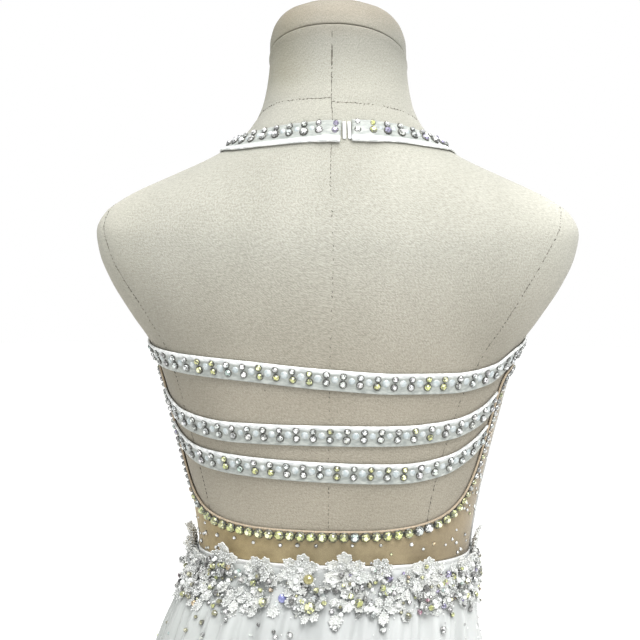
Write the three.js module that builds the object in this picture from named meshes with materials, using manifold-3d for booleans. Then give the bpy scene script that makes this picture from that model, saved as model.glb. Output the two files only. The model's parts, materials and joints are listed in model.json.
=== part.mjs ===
// A lyrical dance dress worn by a limbless dress form on a round stand.
//
// Millimetres, +Z up, the front of the dress facing -Y. The origin is the centre of the
// stand's foot, on the floor. Places on the body are an angle and a height: the angle is 0 at
// the centre back, 90 at the wearer's left side (+X) and 180 at the centre front.
import * as THREE from "three";
import { mergeVertices } from "three/addons/utils/BufferGeometryUtils.js";
import Module from "manifold-3d";

// ---------------------------------------------------------------- driving dimensions

const FORM_AROUND = 40; // sides of each section of the form
const CAP_SEAM = { height: 1448, depth: 47, slope: 0.5 }; // it falls towards the front

const CLEARANCE = 0.9; // between the form and the cloth on it
const SEAM_GAP = 0.3; // between pieces sewn edge to edge
const LAY_GAP = 0.8; // between the skirt and the lace that lies on it
const FLOWER_GAP = 0.7; // between the lace and the flowers that lie on it
const SPANDEX = 1.5; // cloth thicknesses
const MESH = 1.0;
const CHIFFON = 1.2;
const LACE = 1.0;

const DRESS_TURN = 4; // the dress sits turned towards the wearer's left, in degrees
const WAIST_SEAM = 1015;
const BAND_HEIGHT = 8;
const BAND_COLUMNS = 36;
const SIDE_SEAM = 97; // angle of the side seams from the dress's own centre back
const MESH_COLUMNS = 42; // also the stations of the binding on its edge
const MESH_ROWS = 3;
const MESH_FAN = 0.6; // how its columns fan out from the scooped edge to the waist
const BODICE_COLUMNS = 28;
const BODICE_ROWS = 10;
const BODICE_EASE = 1.8; // it spans the hollows, so it lies a little further off
const BINDING_WIDTH = 3.5;
const BINDING = 1.6;
const ELASTIC_WIDTH = 16.5;
const NECK_WIDTH = 19;
const STRAP_STEP = 8; // degrees between the stations of a strap
const NECK_STATIONS = 20;
const STRAP_ROWS = 2; // strips across the width of an elastic strap
const STRAP_SEAM = 0.2; // degrees between a strap's end and the side seam
const STRAP_STOP = 0.9; // between a strap's slanting end and the binding it meets
const TURN_FROM = 60; // angles between which the neck strap takes up the dress's turn
const TURN_FULL = 150;
const CLASP_HEIGHT = 16;
const SKIRT_COLUMNS = 84;
const SKIRT_SEAMS = { left: 24, right: -22 }; // columns that its side seams lie on
const LACE_ROWS = [990, 1001, 1012]; // heights of the lace band above its lower edge
const LACE_LOW = 972; // mean height of its scalloped lower edge
const SCALLOPS = 15;
const SCALLOP_DEPTH = 5;
const PETALS = 5;
const PETAL_SPOKES = 3; // points of a petal's edge, the first in the notch beside it
const PETAL_NOTCH = 0.66; // how far out the notches lie
const FLOWER_RINGS = [0.42, 1];

const PROBE = 0.2; // step in degrees or millimetres that a surface's directions are taken over
const EDGE_STEP = 0.002; // the same along a line, as a part of its length

const BASE_RADIUS = 190;
const BASE_HEIGHT = 14;
const BASE_EDGE = 3;
const BASE_SIDES = 36;
const COLLAR_RADIUS = 26;
const COLLAR_LENGTH = 43;
const POLE_RADIUS = 14;
const POLE_SIDES = 24;
const FLANGE_RADIUS = 62;
const FLANGE_HEIGHT = 8;

// ---------------------------------------------------------------- tables

function table(columns, rows) {
  return rows.map((values) => Object.fromEntries(columns.map((name, i) => [name, values[i]])));
}

// Sections of the form: half width, the depth that its widest line lies at, its reach to the
// back and front, how square the section is (2 is an ellipse), and the rings to the next one.
const FORM_SECTIONS = table(
  ["height", "half", "middle", "back", "front", "square", "rings"],
  [
    [745, 154, 8, 110, -98, 2.3, 2],
    [800, 157, 10, 120, -100, 2.3, 2],
    [850, 148, 8, 113, -98, 2.3, 2],
    [900, 130, 4, 98, -94, 2.25, 2],
    [950, 115, 0, 84, -90, 2.2, 3],
    [1014, 112.5, -3, 79.5, -90, 2.2, 2],
    [1045, 116, -3, 83, -95, 2.2, 2],
    [1090, 125.5, -2, 92, -106, 2.25, 1],
    [1125, 134, 0, 99, -117, 2.3, 1],
    [1160, 143, 2, 104.5, -124, 2.35, 1],
    [1185, 152, 4, 107, -123, 2.4, 1],
    [1210, 169, 6, 108, -116, 2.4, 1],
    [1240, 188, 8, 106, -103, 2.35, 1],
    [1262, 197.5, 8, 102, -92, 2.3, 1],
    [1280, 200.5, 8, 97, -83, 2.2, 1],
    [1295, 194, 6, 91, -76, 2.05, 1],
    [1310, 173, 4, 85, -71, 1.9, 1],
    [1325, 141, 2, 79, -67, 1.8, 2],
    [1340, 108, 0, 72, -64, 1.8, 2],
    [1352, 87, -2, 66, -62, 1.9, 2],
    [1365, 73, -4, 60, -62, 2, 2],
    [1385, 62.5, -6, 54, -63, 2, 1],
    [1405, 58.5, -7, 50, -63, 2, 1],
    [1420, 57, -7, 48, -60, 2, 1],
    [1435, 56.5, -3, 47, -50, 2, 1],
    [1447, 53, 4, 46, -35, 2, 1],
    [1456, 46.5, 11, 43, -18, 2, 1],
    [1463, 36, 18, 38, -1, 2, 1],
    [1468, 19, 22, 31, 12, 2, 1],
  ]
);
const FORM_TIP = { height: 1469.5, depth: 22 };

// The surface that the skirt and its lace follow. Above the waist it is the body's own line.
// swing is how far the section hangs towards the wearer's left, wave the depth of its folds.
const SKIRT_SECTIONS = table(
  ["height", "half", "middle", "back", "front", "square", "swing", "wave"],
  [
    [415, 270, 8, 234, -216, 2, 4, 25],
    [620, 230, 8, 194, -178, 2, 5, 18],
    [760, 196, 8, 161, -148, 2, 7, 12.5],
    [850, 169, 6, 135, -131, 2.05, 9, 8.5],
    [900, 150, 4, 118, -120, 2.05, 11, 6],
    [940, 135.5, 2, 103, -110, 2.1, 11.5, 3.5],
    [965, 129, 0, 96, -103, 2.15, 8.5, 2],
    [990, 119.5, -2, 86, -96, 2.2, 3, 1.3],
    [1007, 115.4, -3, 82.2, -92.6, 2.2, 0, 0.8],
    [1016, 114.4, -3, 81.4, -91.8, 2.2, 0, 0.8],
    [1045, 118.5, -3, 85.5, -97.5, 2.2, 0, 0.8],
  ]
);

// The skirt's folds: where each ridge lies, how far it spreads to either side, how high it is
// against the rest, and how far it wanders sideways by the hem.
const SKIRT_FOLDS = table(
  ["angle", "spread", "reach", "drift"],
  [
    [-168, 13, 0.9, -2],
    [-146, 11, 0.75, 2],
    [-124, 13, 1, 0],
    [-103, 11, 0.8, -2],
    [-71, 11, 0.85, 3],
    [-51, 12, 1, 1],
    [-30, 11, 0.8, -2],
    [-9, 12, 0.95, 1],
    [12, 11, 0.8, 2],
    [33, 12, 1, -1],
    [53, 10, 0.75, 2],
    [70, 10, 0.85, -1],
    [91, 13, 1.15, 1],
    [114, 11, 0.8, -1],
    [134, 12, 1, 1],
    [156, 11, 0.8, 2],
    [174, 10, 0.7, -1],
  ]
);

// Half of the scooped back edge, from the centre back up to the side seam.
const BACK_EDGE = table(
  ["angle", "height"],
  [
    [0, 1042.5],
    [20, 1043],
    [32, 1044.5],
    [42, 1047],
    [52, 1051.5],
    [61, 1059],
    [68, 1070],
    [72, 1083],
    [74.5, 1100],
    [75.5, 1125],
    [76.5, 1146],
    [77.5, 1159],
    [80, 1166.5],
    [86, 1170],
    [96.8, 1173],
  ]
);

// Half of the bodice's top edge, by its column from the centre front to the side seam. The
// level stretch is where the neck strap is sewn on.
const BODICE_TOP = table(
  ["column", "height"],
  [
    [0, 1172],
    [1, 1190],
    [2, 1216],
    [3, 1238],
    [4, 1238],
    [5, 1227],
    [6, 1219],
    [8, 1207],
    [11, 1199],
    [14, 1195],
  ]
);

// Centre lines of the elastic straps across the back, from the wearer's right to left.
const BACK_STRAPS = {
  top: table(
    ["angle", "height"],
    [
      [-95, 1188],
      [-75, 1181],
      [-60, 1169],
      [-40, 1164],
      [-20, 1164],
      [20, 1172],
      [60, 1177],
      [85, 1182],
      [102, 1188],
    ]
  ),
  middle: table(
    ["angle", "height"],
    [
      [-75, 1150],
      [-60, 1134],
      [-45, 1126],
      [-20, 1122],
      [30, 1122],
      [55, 1127],
      [82, 1144],
    ]
  ),
  lower: table(
    ["angle", "height"],
    [
      [-74, 1124],
      [-60, 1107],
      [-45, 1096],
      [-25, 1091],
      [20, 1094],
      [50, 1098],
      [82, 1117],
    ]
  ),
};

// Centre line of the neck strap, from the centre back over a shoulder to the bodice, and its
// height over the wearer's left and right shoulder.
const NECK_STRAP = table(
  ["angle", "left", "right"],
  [
    [0, 1360, 1361],
    [20, 1358, 1360.3],
    [43, 1354.5, 1358.5],
    [60, 1351.5, 1355],
    [75, 1350.5, 1352.5],
    [90, 1349.5, 1351],
    [110, 1344.5, 1346],
    [129, 1334, 1337],
    [146, 1311, 1314],
    [155.2, 1290.5, 1291.5],
    [159, 1270, 1270],
    [159.8, 1255, 1255],
    [159.3, 1240.5, 1240.5],
  ]
);

// The strap's fastening lies to the wearer's right of the centre back: where the left strap
// ends, the hook and the bar that it catches, and where the right strap begins.
const CLASP = table(
  ["piece", "from", "to"],
  [
    ["neck_clasp_hook", -9.8, -7.3],
    ["neck_clasp_bar", -12.8, -10.4],
  ]
);
const LEFT_STRAP_END = -6.6;
const RIGHT_STRAP_END = -13.2;

// Lace flowers sewn round the waist: centre, radius to the petal tips, how far the flower is
// turned, and how far its tips stand off the cloth.
const FLOWERS = table(
  ["angle", "height", "radius", "turn", "lift"],
  [
    [89, 1011, 24, 10, 9],
    [66.5, 1000, 17, 40, 3],
    [43, 1013, 16, 18, 4],
    [24.5, 1011, 13, 50, 3],
    [8, 1011, 17, 12, 4],
    [-7.5, 1012, 17, 30, 4],
    [-21, 1014, 10, 0, 3],
    [-42, 1005, 19, 22, 4],
    [-68, 1000, 18, 55, 3],
    [-91, 1011, 24, 5, 9],
    [-112, 1004, 18, 30, 3],
    [-134, 1008, 17, 8, 4],
    [-156, 1002, 18, 44, 3],
    [-178, 1010, 19, 15, 4],
    [160, 1003, 17, 35, 3],
    [137, 1009, 18, 0, 4],
    [112, 1002, 18, 25, 3],
  ]
);

// ---------------------------------------------------------------- materials

const LINEN = { color: 0xc8c4b4, roughness: 0.9, metalness: 0 };
const STEEL = { color: 0xb9b9b6, roughness: 0.35, metalness: 0.9 };
const PAINTED = { color: 0x4a4846, roughness: 0.5, metalness: 0.4 };
const WHITE_CLOTH = { color: 0xf2f3f5, roughness: 0.45, metalness: 0 };
const NUDE_MESH = { color: 0xb89c7c, roughness: 0.7, metalness: 0 };
const WHITE_CHIFFON = { color: 0xf0f3f5, roughness: 0.7, metalness: 0 };
const WHITE_LACE = { color: 0xf4f5f6, roughness: 0.6, metalness: 0 };
const CLEAR_PLASTIC = { color: 0xe9ebee, roughness: 0.3, metalness: 0 };

// ---------------------------------------------------------------- curves through tables

// A smooth curve through two columns of a table that never overshoots between its rows.
function curve(rows, from, to) {
  const xs = rows.map((row) => row[from]);
  const ys = rows.map((row) => row[to]);
  const last = xs.length - 1;
  const secants = xs.slice(1).map((x, i) => (ys[i + 1] - ys[i]) / (x - xs[i]));
  const slopes = xs.map((x, i) => {
    const before = secants[Math.max(i - 1, 0)];
    const after = secants[Math.min(i, last - 1)];
    return before * after > 0 ? (2 * before * after) / (before + after) : 0;
  });
  return (x) => {
    const held = Math.min(Math.max(x, xs[0]), xs[last]);
    const k = xs.slice(0, last).findLastIndex((edge) => edge <= held);
    const span = xs[k + 1] - xs[k];
    const rise = ys[k + 1] - ys[k];
    const t = (held - xs[k]) / span;
    const start = slopes[k] * span - rise;
    const end = rise - slopes[k + 1] * span;
    return ys[k] + rise * t + (1 - t) * t * ((1 - t) * start + t * end);
  };
}

// A line through a table's angles and heights, from its first row (0) to its last (1).
function path(rows, column = "height") {
  const steps = rows.map((row, step) => ({ ...row, step }));
  const angle = curve(steps, "step", "angle");
  const height = curve(steps, "step", column);
  return (t) => [angle(t * (rows.length - 1)), height(t * (rows.length - 1))];
}

function sections(rows) {
  const names = Object.keys(rows[0]).filter((name) => name !== "height");
  const curves = names.map((name) => [name, curve(rows, "height", name)]);
  return (height) => Object.fromEntries(curves.map(([name, at]) => [name, at(height)]));
}

// ---------------------------------------------------------------- surfaces

const formAt = sections(FORM_SECTIONS);
const skirtAt = sections(SKIRT_SECTIONS);
const HEM = SKIRT_SECTIONS[0].height;
const SKIRT_TOP = WAIST_SEAM - BAND_HEIGHT - SEAM_GAP;
const radians = THREE.MathUtils.degToRad;
const { lerp } = THREE.MathUtils;

function rounded(value, square) {
  return Math.sign(value) * Math.abs(value) ** (2 / square);
}

// A point of a section that is widest at its middle and reaches out to its back and front.
function sectionPoint(section, angle, height) {
  const along = rounded(Math.cos(radians(angle)), section.square);
  const reach = along >= 0 ? section.back - section.middle : section.middle - section.front;
  const x = section.half * rounded(Math.sin(radians(angle)), section.square);
  return new THREE.Vector3(x, section.middle + reach * along, height);
}

// A point of a surface, moved out along the surface's own normal.
function movedOut(surface, angle, height, out) {
  const point = surface(angle, height);
  const around = surface(angle + PROBE, height).sub(surface(angle - PROBE, height));
  const upward = surface(angle, height + PROBE).sub(surface(angle, height - PROBE));
  return point.addScaledVector(upward.cross(around).normalize(), out);
}

function form(angle, height) {
  return sectionPoint(formAt(height), angle, height);
}

// How far a place on the skirt stands out of its folds' middle: -1 in the valleys.
function foldReach(angle, height) {
  const fallen = (WAIST_SEAM - height) / (WAIST_SEAM - HEM);
  let reach = -1;
  for (const fold of SKIRT_FOLDS) {
    const ridge = fold.angle + fold.drift * fallen;
    const away = Math.abs(THREE.MathUtils.euclideanModulo(angle - ridge + 180, 360) - 180);
    if (away < fold.spread) reach += fold.reach * (1 + Math.cos((Math.PI * away) / fold.spread));
  }
  return reach;
}

// The inside of the skirt, and the line that its lace follows above the waist.
function skirt(angle, height) {
  const section = skirtAt(height);
  const point = sectionPoint(section, angle, height);
  const ahead = sectionPoint(section, angle + 1, height);
  const behind = sectionPoint(section, angle - 1, height);
  const outward = new THREE.Vector3(0, 0, 1).cross(ahead.sub(behind)).normalize();
  point.addScaledVector(outward, section.wave * foldReach(angle, height));
  point.x += section.swing;
  return point;
}

// How long one degree round the skirt is at a place.
function degreeLength(angle, height) {
  return skirt(angle + 0.5, height).distanceTo(skirt(angle - 0.5, height));
}

// Walks over the form from an angle and height by a vector in millimetres.
function walk(angle, height, vector) {
  const paces = 4;
  let here = [angle, height];
  for (let pace = 0; pace < paces; pace += 1) {
    const start = form(...here);
    const around = form(here[0] + PROBE, here[1]).sub(start).divideScalar(PROBE);
    const upward = form(here[0], here[1] + PROBE).sub(start).divideScalar(PROBE);
    const shared = around.dot(upward);
    const scale = paces * (around.lengthSq() * upward.lengthSq() - shared * shared);
    const round = around.dot(vector) * upward.lengthSq() - upward.dot(vector) * shared;
    const rise = upward.dot(vector) * around.lengthSq() - around.dot(vector) * shared;
    here = [here[0] + round / scale, here[1] + rise / scale];
  }
  return here;
}

// ---------------------------------------------------------------- kinds of solid

function solid(points, triangles) {
  const geometry = new THREE.BufferGeometry();
  const positions = points.flatMap((point) => point.toArray());
  geometry.setAttribute("position", new THREE.Float32BufferAttribute(positions, 3));
  geometry.setIndex(triangles);
  geometry.computeVertexNormals();
  return geometry;
}

// A closed wall from a grid. place(i, j, side) gives the grid's points on the inner face
// (side 0) and the outer face (side 1); i runs round the body and j upwards.
function wall(columns, rows, place, closed = false) {
  const lines = closed ? columns : columns + 1;
  const points = [];
  for (const side of [0, 1]) {
    for (let i = 0; i < lines; i += 1) {
      for (let j = 0; j <= rows; j += 1) points.push(place(i, j, side));
    }
  }
  const at = (i, j, side) => (side * lines + (i % lines)) * (rows + 1) + j;
  const triangles = [];
  const quad = (a, b, c, d) => triangles.push(a, b, c, a, c, d);
  for (let i = 0; i < columns; i += 1) {
    for (let j = 0; j < rows; j += 1) {
      quad(at(i, j, 1), at(i, j + 1, 1), at(i + 1, j + 1, 1), at(i + 1, j, 1));
      quad(at(i, j, 0), at(i + 1, j, 0), at(i + 1, j + 1, 0), at(i, j + 1, 0));
    }
    quad(at(i, 0, 1), at(i + 1, 0, 1), at(i + 1, 0, 0), at(i, 0, 0));
    quad(at(i, rows, 0), at(i + 1, rows, 0), at(i + 1, rows, 1), at(i, rows, 1));
  }
  for (let j = 0; !closed && j < rows; j += 1) {
    quad(at(0, j, 1), at(0, j, 0), at(0, j + 1, 0), at(0, j + 1, 1));
    quad(at(columns, j, 0), at(columns, j, 1), at(columns, j + 1, 1), at(columns, j + 1, 0));
  }
  return solid(points, triangles);
}

// A wall that lies on the form over a grid of angles and heights.
function wallOnForm(columns, rows, place, thickness, inner = CLEARANCE, closed = false) {
  return wall(columns, rows, (i, j, side) => {
    const [angle, height] = place(i, j);
    return movedOut(form, angle, height, inner + side * thickness);
  }, closed);
}

// The place beside a line on the form, a distance from it measured on the surface, to the
// left of the line's own direction.
function beside(line, t, distance) {
  const here = line(t);
  const along = form(...line(Math.min(1, t + EDGE_STEP)));
  along.sub(form(...line(Math.max(0, t - EDGE_STEP)))).normalize();
  const normal = movedOut(form, ...here, 1).sub(form(...here));
  const sideways = along.cross(normal).normalize();
  return walk(...here, sideways.multiplyScalar(distance));
}

// A band of cloth along a line on the form, with its edges low and high beside the line.
function band(line, stations, across, low, high, thickness) {
  return wallOnForm(stations, across, (i, j) => {
    return beside(line, i / stations, lerp(low, high, j / across));
  }, thickness);
}

function lathe(profile, segments) {
  const points = profile.map(([radius, height]) => new THREE.Vector2(radius, height));
  return new THREE.LatheGeometry(points, segments).rotateX(Math.PI / 2);
}

const wasm = await Module();
wasm.setup();

function toManifold(geometry) {
  const plain = new THREE.BufferGeometry();
  plain.setAttribute("position", geometry.getAttribute("position").clone());
  plain.setIndex(geometry.index);
  const merged = mergeVertices(plain);
  const vertProperties = new Float32Array(merged.getAttribute("position").array);
  const triVerts = new Uint32Array(merged.index.array);
  return new wasm.Manifold(new wasm.Mesh({ numProp: 3, vertProperties, triVerts }));
}

function fromManifold(manifold) {
  const mesh = manifold.getMesh();
  const geometry = new THREE.BufferGeometry();
  geometry.setAttribute("position", new THREE.BufferAttribute(mesh.vertProperties, 3));
  geometry.setIndex(new THREE.BufferAttribute(mesh.triVerts, 1));
  geometry.computeVertexNormals();
  return geometry;
}

// ---------------------------------------------------------------- the form and its stand

function wholeForm() {
  const heights = FORM_SECTIONS.flatMap((row, k) => {
    const above = FORM_SECTIONS[Math.min(k + 1, FORM_SECTIONS.length - 1)].height;
    return [...Array(row.rings).keys()].map((i) => lerp(row.height, above, i / row.rings));
  });
  const points = heights.flatMap((height) => {
    return [...Array(FORM_AROUND).keys()].map((i) => form((360 * i) / FORM_AROUND, height));
  });
  const bottom = points.push(new THREE.Vector3(0, 0, heights[0])) - 1;
  const tip = points.push(new THREE.Vector3(0, FORM_TIP.depth, FORM_TIP.height)) - 1;
  const triangles = [];
  const lastRing = (heights.length - 1) * FORM_AROUND;
  for (let i = 0; i < FORM_AROUND; i += 1) {
    const next = (i + 1) % FORM_AROUND;
    for (let ring = 0; ring < lastRing; ring += FORM_AROUND) {
      const above = ring + FORM_AROUND;
      triangles.push(ring + i, above + i, above + next, ring + i, above + next, ring + next);
    }
    triangles.push(lastRing + i, tip, lastRing + next, i, next, bottom);
  }
  return solid(points, triangles);
}

// A block that holds everything above (1) or below (-1) the slanting seam of the neck cap.
function besideCapSeam(way) {
  const size = 2 * FORM_TIP.height;
  const block = new THREE.BoxGeometry(size, size, size);
  block.translate(0, 0, (way * (size + SEAM_GAP)) / 2);
  block.rotateX(Math.atan(CAP_SEAM.slope));
  block.translate(0, CAP_SEAM.depth, CAP_SEAM.height);
  return toManifold(block);
}

const BASE_TOP = BASE_HEIGHT + BASE_EDGE;
const FLANGE_TOP = FORM_SECTIONS[0].height - SEAM_GAP;
const FLANGE_LOW = FLANGE_TOP - FLANGE_HEIGHT;

function standBase() {
  return lathe([
    [0, 0],
    [BASE_RADIUS - BASE_EDGE, 0],
    [BASE_RADIUS, BASE_EDGE],
    [BASE_RADIUS, BASE_HEIGHT - 2 * BASE_EDGE],
    [BASE_RADIUS - 2 * BASE_EDGE, BASE_HEIGHT],
    [COLLAR_RADIUS + BASE_EDGE, BASE_TOP],
    [0, BASE_TOP],
  ], BASE_SIDES);
}

// A tube that holds one end of the pole.
function collar(low) {
  const bore = POLE_RADIUS + SEAM_GAP;
  const high = low + COLLAR_LENGTH;
  const profile = [[bore, low], [COLLAR_RADIUS, low], [COLLAR_RADIUS, high], [bore, high]];
  return lathe([...profile, profile[0]], POLE_SIDES);
}

function rod(radius, low, high) {
  return lathe([[0, low], [radius, low], [radius, high], [0, high]], POLE_SIDES);
}

// ---------------------------------------------------------------- the dress

const halfBackEdge = path(BACK_EDGE);

// The whole scooped edge of the back, from the wearer's right side seam to the left.
function backEdge(t) {
  const part = 2 * t - 1;
  const [angle, height] = halfBackEdge(Math.abs(part));
  return [DRESS_TURN + Math.sign(part) * angle, height];
}

function bodiceBack() {
  const sideSeam = BACK_EDGE[BACK_EDGE.length - 1].angle;
  return wallOnForm(MESH_COLUMNS, MESH_ROWS, (i, j) => {
    const part = (2 * i) / MESH_COLUMNS - 1;
    const [angle, height] = backEdge(i / MESH_COLUMNS);
    const waistAngle = DRESS_TURN + sideSeam * Math.sign(part) * Math.abs(part) ** MESH_FAN;
    const rise = j / MESH_ROWS;
    return [lerp(waistAngle, angle, rise), lerp(WAIST_SEAM + SEAM_GAP, height, rise)];
  }, MESH);
}

function bodiceFront() {
  const top = curve(BODICE_TOP, "column", "height");
  const middle = BODICE_COLUMNS / 2;
  return wallOnForm(BODICE_COLUMNS, BODICE_ROWS, (i, j) => {
    const part = (i - middle) / middle;
    const height = lerp(WAIST_SEAM + SEAM_GAP, top(Math.abs(i - middle)), j / BODICE_ROWS);
    return [180 + DRESS_TURN + part * (180 - SIDE_SEAM), height];
  }, SPANDEX, BODICE_EASE);
}

// The angle of the binding's inner edge at a height, on the wearer's left (1) or right (-1).
function bindingAngle(way, height) {
  const out = SEAM_GAP + BINDING_WIDTH + STRAP_STOP;
  const edge = (part) => beside(backEdge, (1 + way * part) / 2, out);
  let part = 0;
  while (part < 1 && edge(part)[1] < height) part += EDGE_STEP;
  return edge(part)[0];
}

// A strap across the back. Each line of its width ends beside the binding or side seam.
function backStrap(rows, rises) {
  const passes = 8;
  const centre = curve(rows, "angle", "height");
  const end = (way, above) => {
    const sideSeam = DRESS_TURN + way * (SIDE_SEAM - STRAP_SEAM);
    if (!rises) return sideSeam;
    let angle = sideSeam;
    for (let i = 0; i < passes; i += 1) angle = bindingAngle(way, centre(angle) + above);
    return angle;
  };
  const lines = [...Array(STRAP_ROWS + 1).keys()].map((j) => {
    const above = ELASTIC_WIDTH * (j / STRAP_ROWS - 0.5);
    return { above, right: end(-1, above), left: end(1, above) };
  });
  const stations = Math.round((lines[0].left - lines[0].right) / STRAP_STEP);
  return wallOnForm(stations, STRAP_ROWS, (i, j) => {
    const { above, right, left } = lines[j];
    const angle = lerp(right, left, i / stations);
    return [angle, centre(angle) + above];
  }, SPANDEX);
}

// One side of the neck strap, from its end at the nape to the bodice. way is 1 on the left,
// whose strap starts past the centre back.
function neckStrap(way, start) {
  const centre = path(NECK_STRAP, way > 0 ? "left" : "right");
  const first = (way * start) / NECK_STRAP[1].angle / (NECK_STRAP.length - 1);
  const line = (t) => {
    const along = lerp(first, 1, t);
    const [angle, height] = centre(Math.abs(along));
    const turned = DRESS_TURN * THREE.MathUtils.smoothstep(angle, TURN_FROM, TURN_FULL);
    return [way * Math.sign(along) * angle + turned, height];
  };
  const edge = NECK_WIDTH / 2;
  return band(line, NECK_STATIONS, STRAP_ROWS, -edge, edge, SPANDEX);
}

function claspPiece(from, to) {
  const line = (t) => [lerp(from, to, t), NECK_STRAP[0].right];
  return band(line, 1, 1, -CLASP_HEIGHT / 2, CLASP_HEIGHT / 2, SPANDEX);
}

function waistBand() {
  return wallOnForm(BAND_COLUMNS, 1, (i, j) => {
    return [(360 * i) / BAND_COLUMNS, WAIST_SEAM - BAND_HEIGHT * (1 - j)];
  }, SPANDEX, CLEARANCE, true);
}

// One panel of the skirt, from the column of one side seam to that of the other.
function skirtPanel(first, last) {
  const heights = SKIRT_SECTIONS.map((row) => row.height);
  const rows = [...heights.filter((height) => height < SKIRT_TOP), SKIRT_TOP];
  return wall(last - first, rows.length - 1, (i, j, side) => {
    const angle = (360 * (first + i)) / SKIRT_COLUMNS;
    const inwards = first + i === last ? -1 : Number(i === 0);
    const inset = (inwards * SEAM_GAP) / 2 / degreeLength(angle, rows[j]);
    return movedOut(skirt, angle + inset, rows[j], side * CHIFFON);
  });
}

const LACE_OUT = CHIFFON + LAY_GAP;
const FLOWER_OUT = LACE_OUT + LACE + FLOWER_GAP;

function waistLace() {
  return wall(SKIRT_COLUMNS, LACE_ROWS.length, (i, j, side) => {
    const angle = (360 * i) / SKIRT_COLUMNS;
    const low = LACE_LOW + SCALLOP_DEPTH * Math.cos(radians(SCALLOPS * angle));
    return movedOut(skirt, angle, [low, ...LACE_ROWS][j], LACE_OUT + side * LACE);
  }, true);
}

// A cupped lace flower: rings of points round its centre, out to the tips of its petals.
function laceFlower({ angle, height, radius, turn, lift }) {
  const spokes = PETAL_SPOKES * PETALS;
  const perDegree = degreeLength(angle, height);
  const place = (ring, spoke, side) => {
    const petal = Math.abs(Math.cos(radians((180 * spoke) / PETAL_SPOKES + 90)));
    const far = ring === FLOWER_RINGS.length - 1 ? lerp(PETAL_NOTCH, 1, petal) : 1;
    const reach = radius * FLOWER_RINGS[ring] * far;
    const around = radians((360 * spoke) / spokes + turn);
    const out = FLOWER_OUT + lift * (reach / radius) ** 2 + side * LACE;
    const across = (reach * Math.sin(around)) / perDegree;
    return movedOut(skirt, angle + across, height + reach * Math.cos(around), out);
  };
  const points = [];
  for (const side of [0, 1]) {
    points.push(movedOut(skirt, angle, height, FLOWER_OUT + side * LACE));
    for (let ring = 0; ring < FLOWER_RINGS.length; ring += 1) {
      for (let spoke = 0; spoke < spokes; spoke += 1) points.push(place(ring, spoke, side));
    }
  }
  const face = points.length / 2;
  const at = (ring, spoke, side) => side * face + 1 + ring * spokes + (spoke % spokes);
  const triangles = [];
  const quad = (a, b, c, d) => triangles.push(a, b, c, a, c, d);
  const rim = FLOWER_RINGS.length - 1;
  for (let spoke = 0; spoke < spokes; spoke += 1) {
    const next = spoke + 1;
    triangles.push(face, at(0, spoke, 1), at(0, next, 1));
    triangles.push(0, at(0, next, 0), at(0, spoke, 0));
    for (let ring = 0; ring < rim; ring += 1) {
      quad(at(ring, spoke, 1), at(ring + 1, spoke, 1), at(ring + 1, next, 1), at(ring, next, 1));
      quad(at(ring, spoke, 0), at(ring, next, 0), at(ring + 1, next, 0), at(ring + 1, spoke, 0));
    }
    quad(at(rim, spoke, 1), at(rim, spoke, 0), at(rim, next, 0), at(rim, next, 1));
  }
  return solid(points, triangles);
}

// ---------------------------------------------------------------- the whole object

const dress = new THREE.Group();

function add(name, geometry, finish) {
  const mesh = new THREE.Mesh(geometry, new THREE.MeshStandardMaterial(finish));
  mesh.name = name;
  dress.add(mesh);
}

const formSolid = toManifold(wholeForm());
add("form_torso", fromManifold(formSolid.intersect(besideCapSeam(-1))), LINEN);
add("form_neck_cap", fromManifold(formSolid.intersect(besideCapSeam(1))), LINEN);
add("stand_base", standBase(), PAINTED);
add("base_collar", collar(BASE_TOP + SEAM_GAP), PAINTED);
add("stand_pole", rod(POLE_RADIUS, BASE_TOP + SEAM_GAP, FLANGE_LOW - SEAM_GAP), STEEL);
add("flange_collar", collar(FLANGE_LOW - SEAM_GAP - COLLAR_LENGTH), PAINTED);
add("stand_flange", rod(FLANGE_RADIUS, FLANGE_LOW, FLANGE_TOP), PAINTED);

add("bodice_front", bodiceFront(), WHITE_CLOTH);
add("bodice_back_mesh", bodiceBack(), NUDE_MESH);
const [bindingLow, bindingHigh] = [SEAM_GAP, SEAM_GAP + BINDING_WIDTH];
const binding = band(backEdge, MESH_COLUMNS, 1, bindingLow, bindingHigh, BINDING);
add("back_edge_binding", binding, NUDE_MESH);
add("back_strap_top", backStrap(BACK_STRAPS.top, false), WHITE_CLOTH);
add("back_strap_middle", backStrap(BACK_STRAPS.middle, true), WHITE_CLOTH);
add("back_strap_lower", backStrap(BACK_STRAPS.lower, true), WHITE_CLOTH);
add("neck_strap_left", neckStrap(1, LEFT_STRAP_END), WHITE_CLOTH);
add("neck_strap_right", neckStrap(-1, RIGHT_STRAP_END), WHITE_CLOTH);
for (const { piece, from, to } of CLASP) add(piece, claspPiece(from, to), CLEAR_PLASTIC);
add("waist_band", waistBand(), WHITE_CLOTH);
const { left, right } = SKIRT_SEAMS;
add("skirt_back", skirtPanel(right, left), WHITE_CHIFFON);
add("skirt_front", skirtPanel(left, right + SKIRT_COLUMNS), WHITE_CHIFFON);
add("waist_lace", waistLace(), WHITE_LACE);
FLOWERS.forEach((row, i) => {
  add(`lace_flower_${String(i + 1).padStart(2, "0")}`, laceFlower(row), WHITE_LACE);
});

export default dress;
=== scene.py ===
"""The looks of a lyrical dance dress on a limbless dress form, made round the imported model.

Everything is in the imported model's frame: +Z up, the front of the dress facing -Y. The tables
and functions below work in millimetres, and MM turns them into metres where a mesh is made.
Places on the body are an angle and a height: the angle is 0 at the centre back, 90 at the
wearer's left side (+X) and 180 at the centre front.
"""

import json
import math
import random

import bpy
import numpy as np
from bpy.props import FloatProperty, FloatVectorProperty, IntProperty, PointerProperty
from mathutils import Matrix, Vector
from mathutils.bvhtree import BVHTree
from mathutils.kdtree import KDTree

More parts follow.
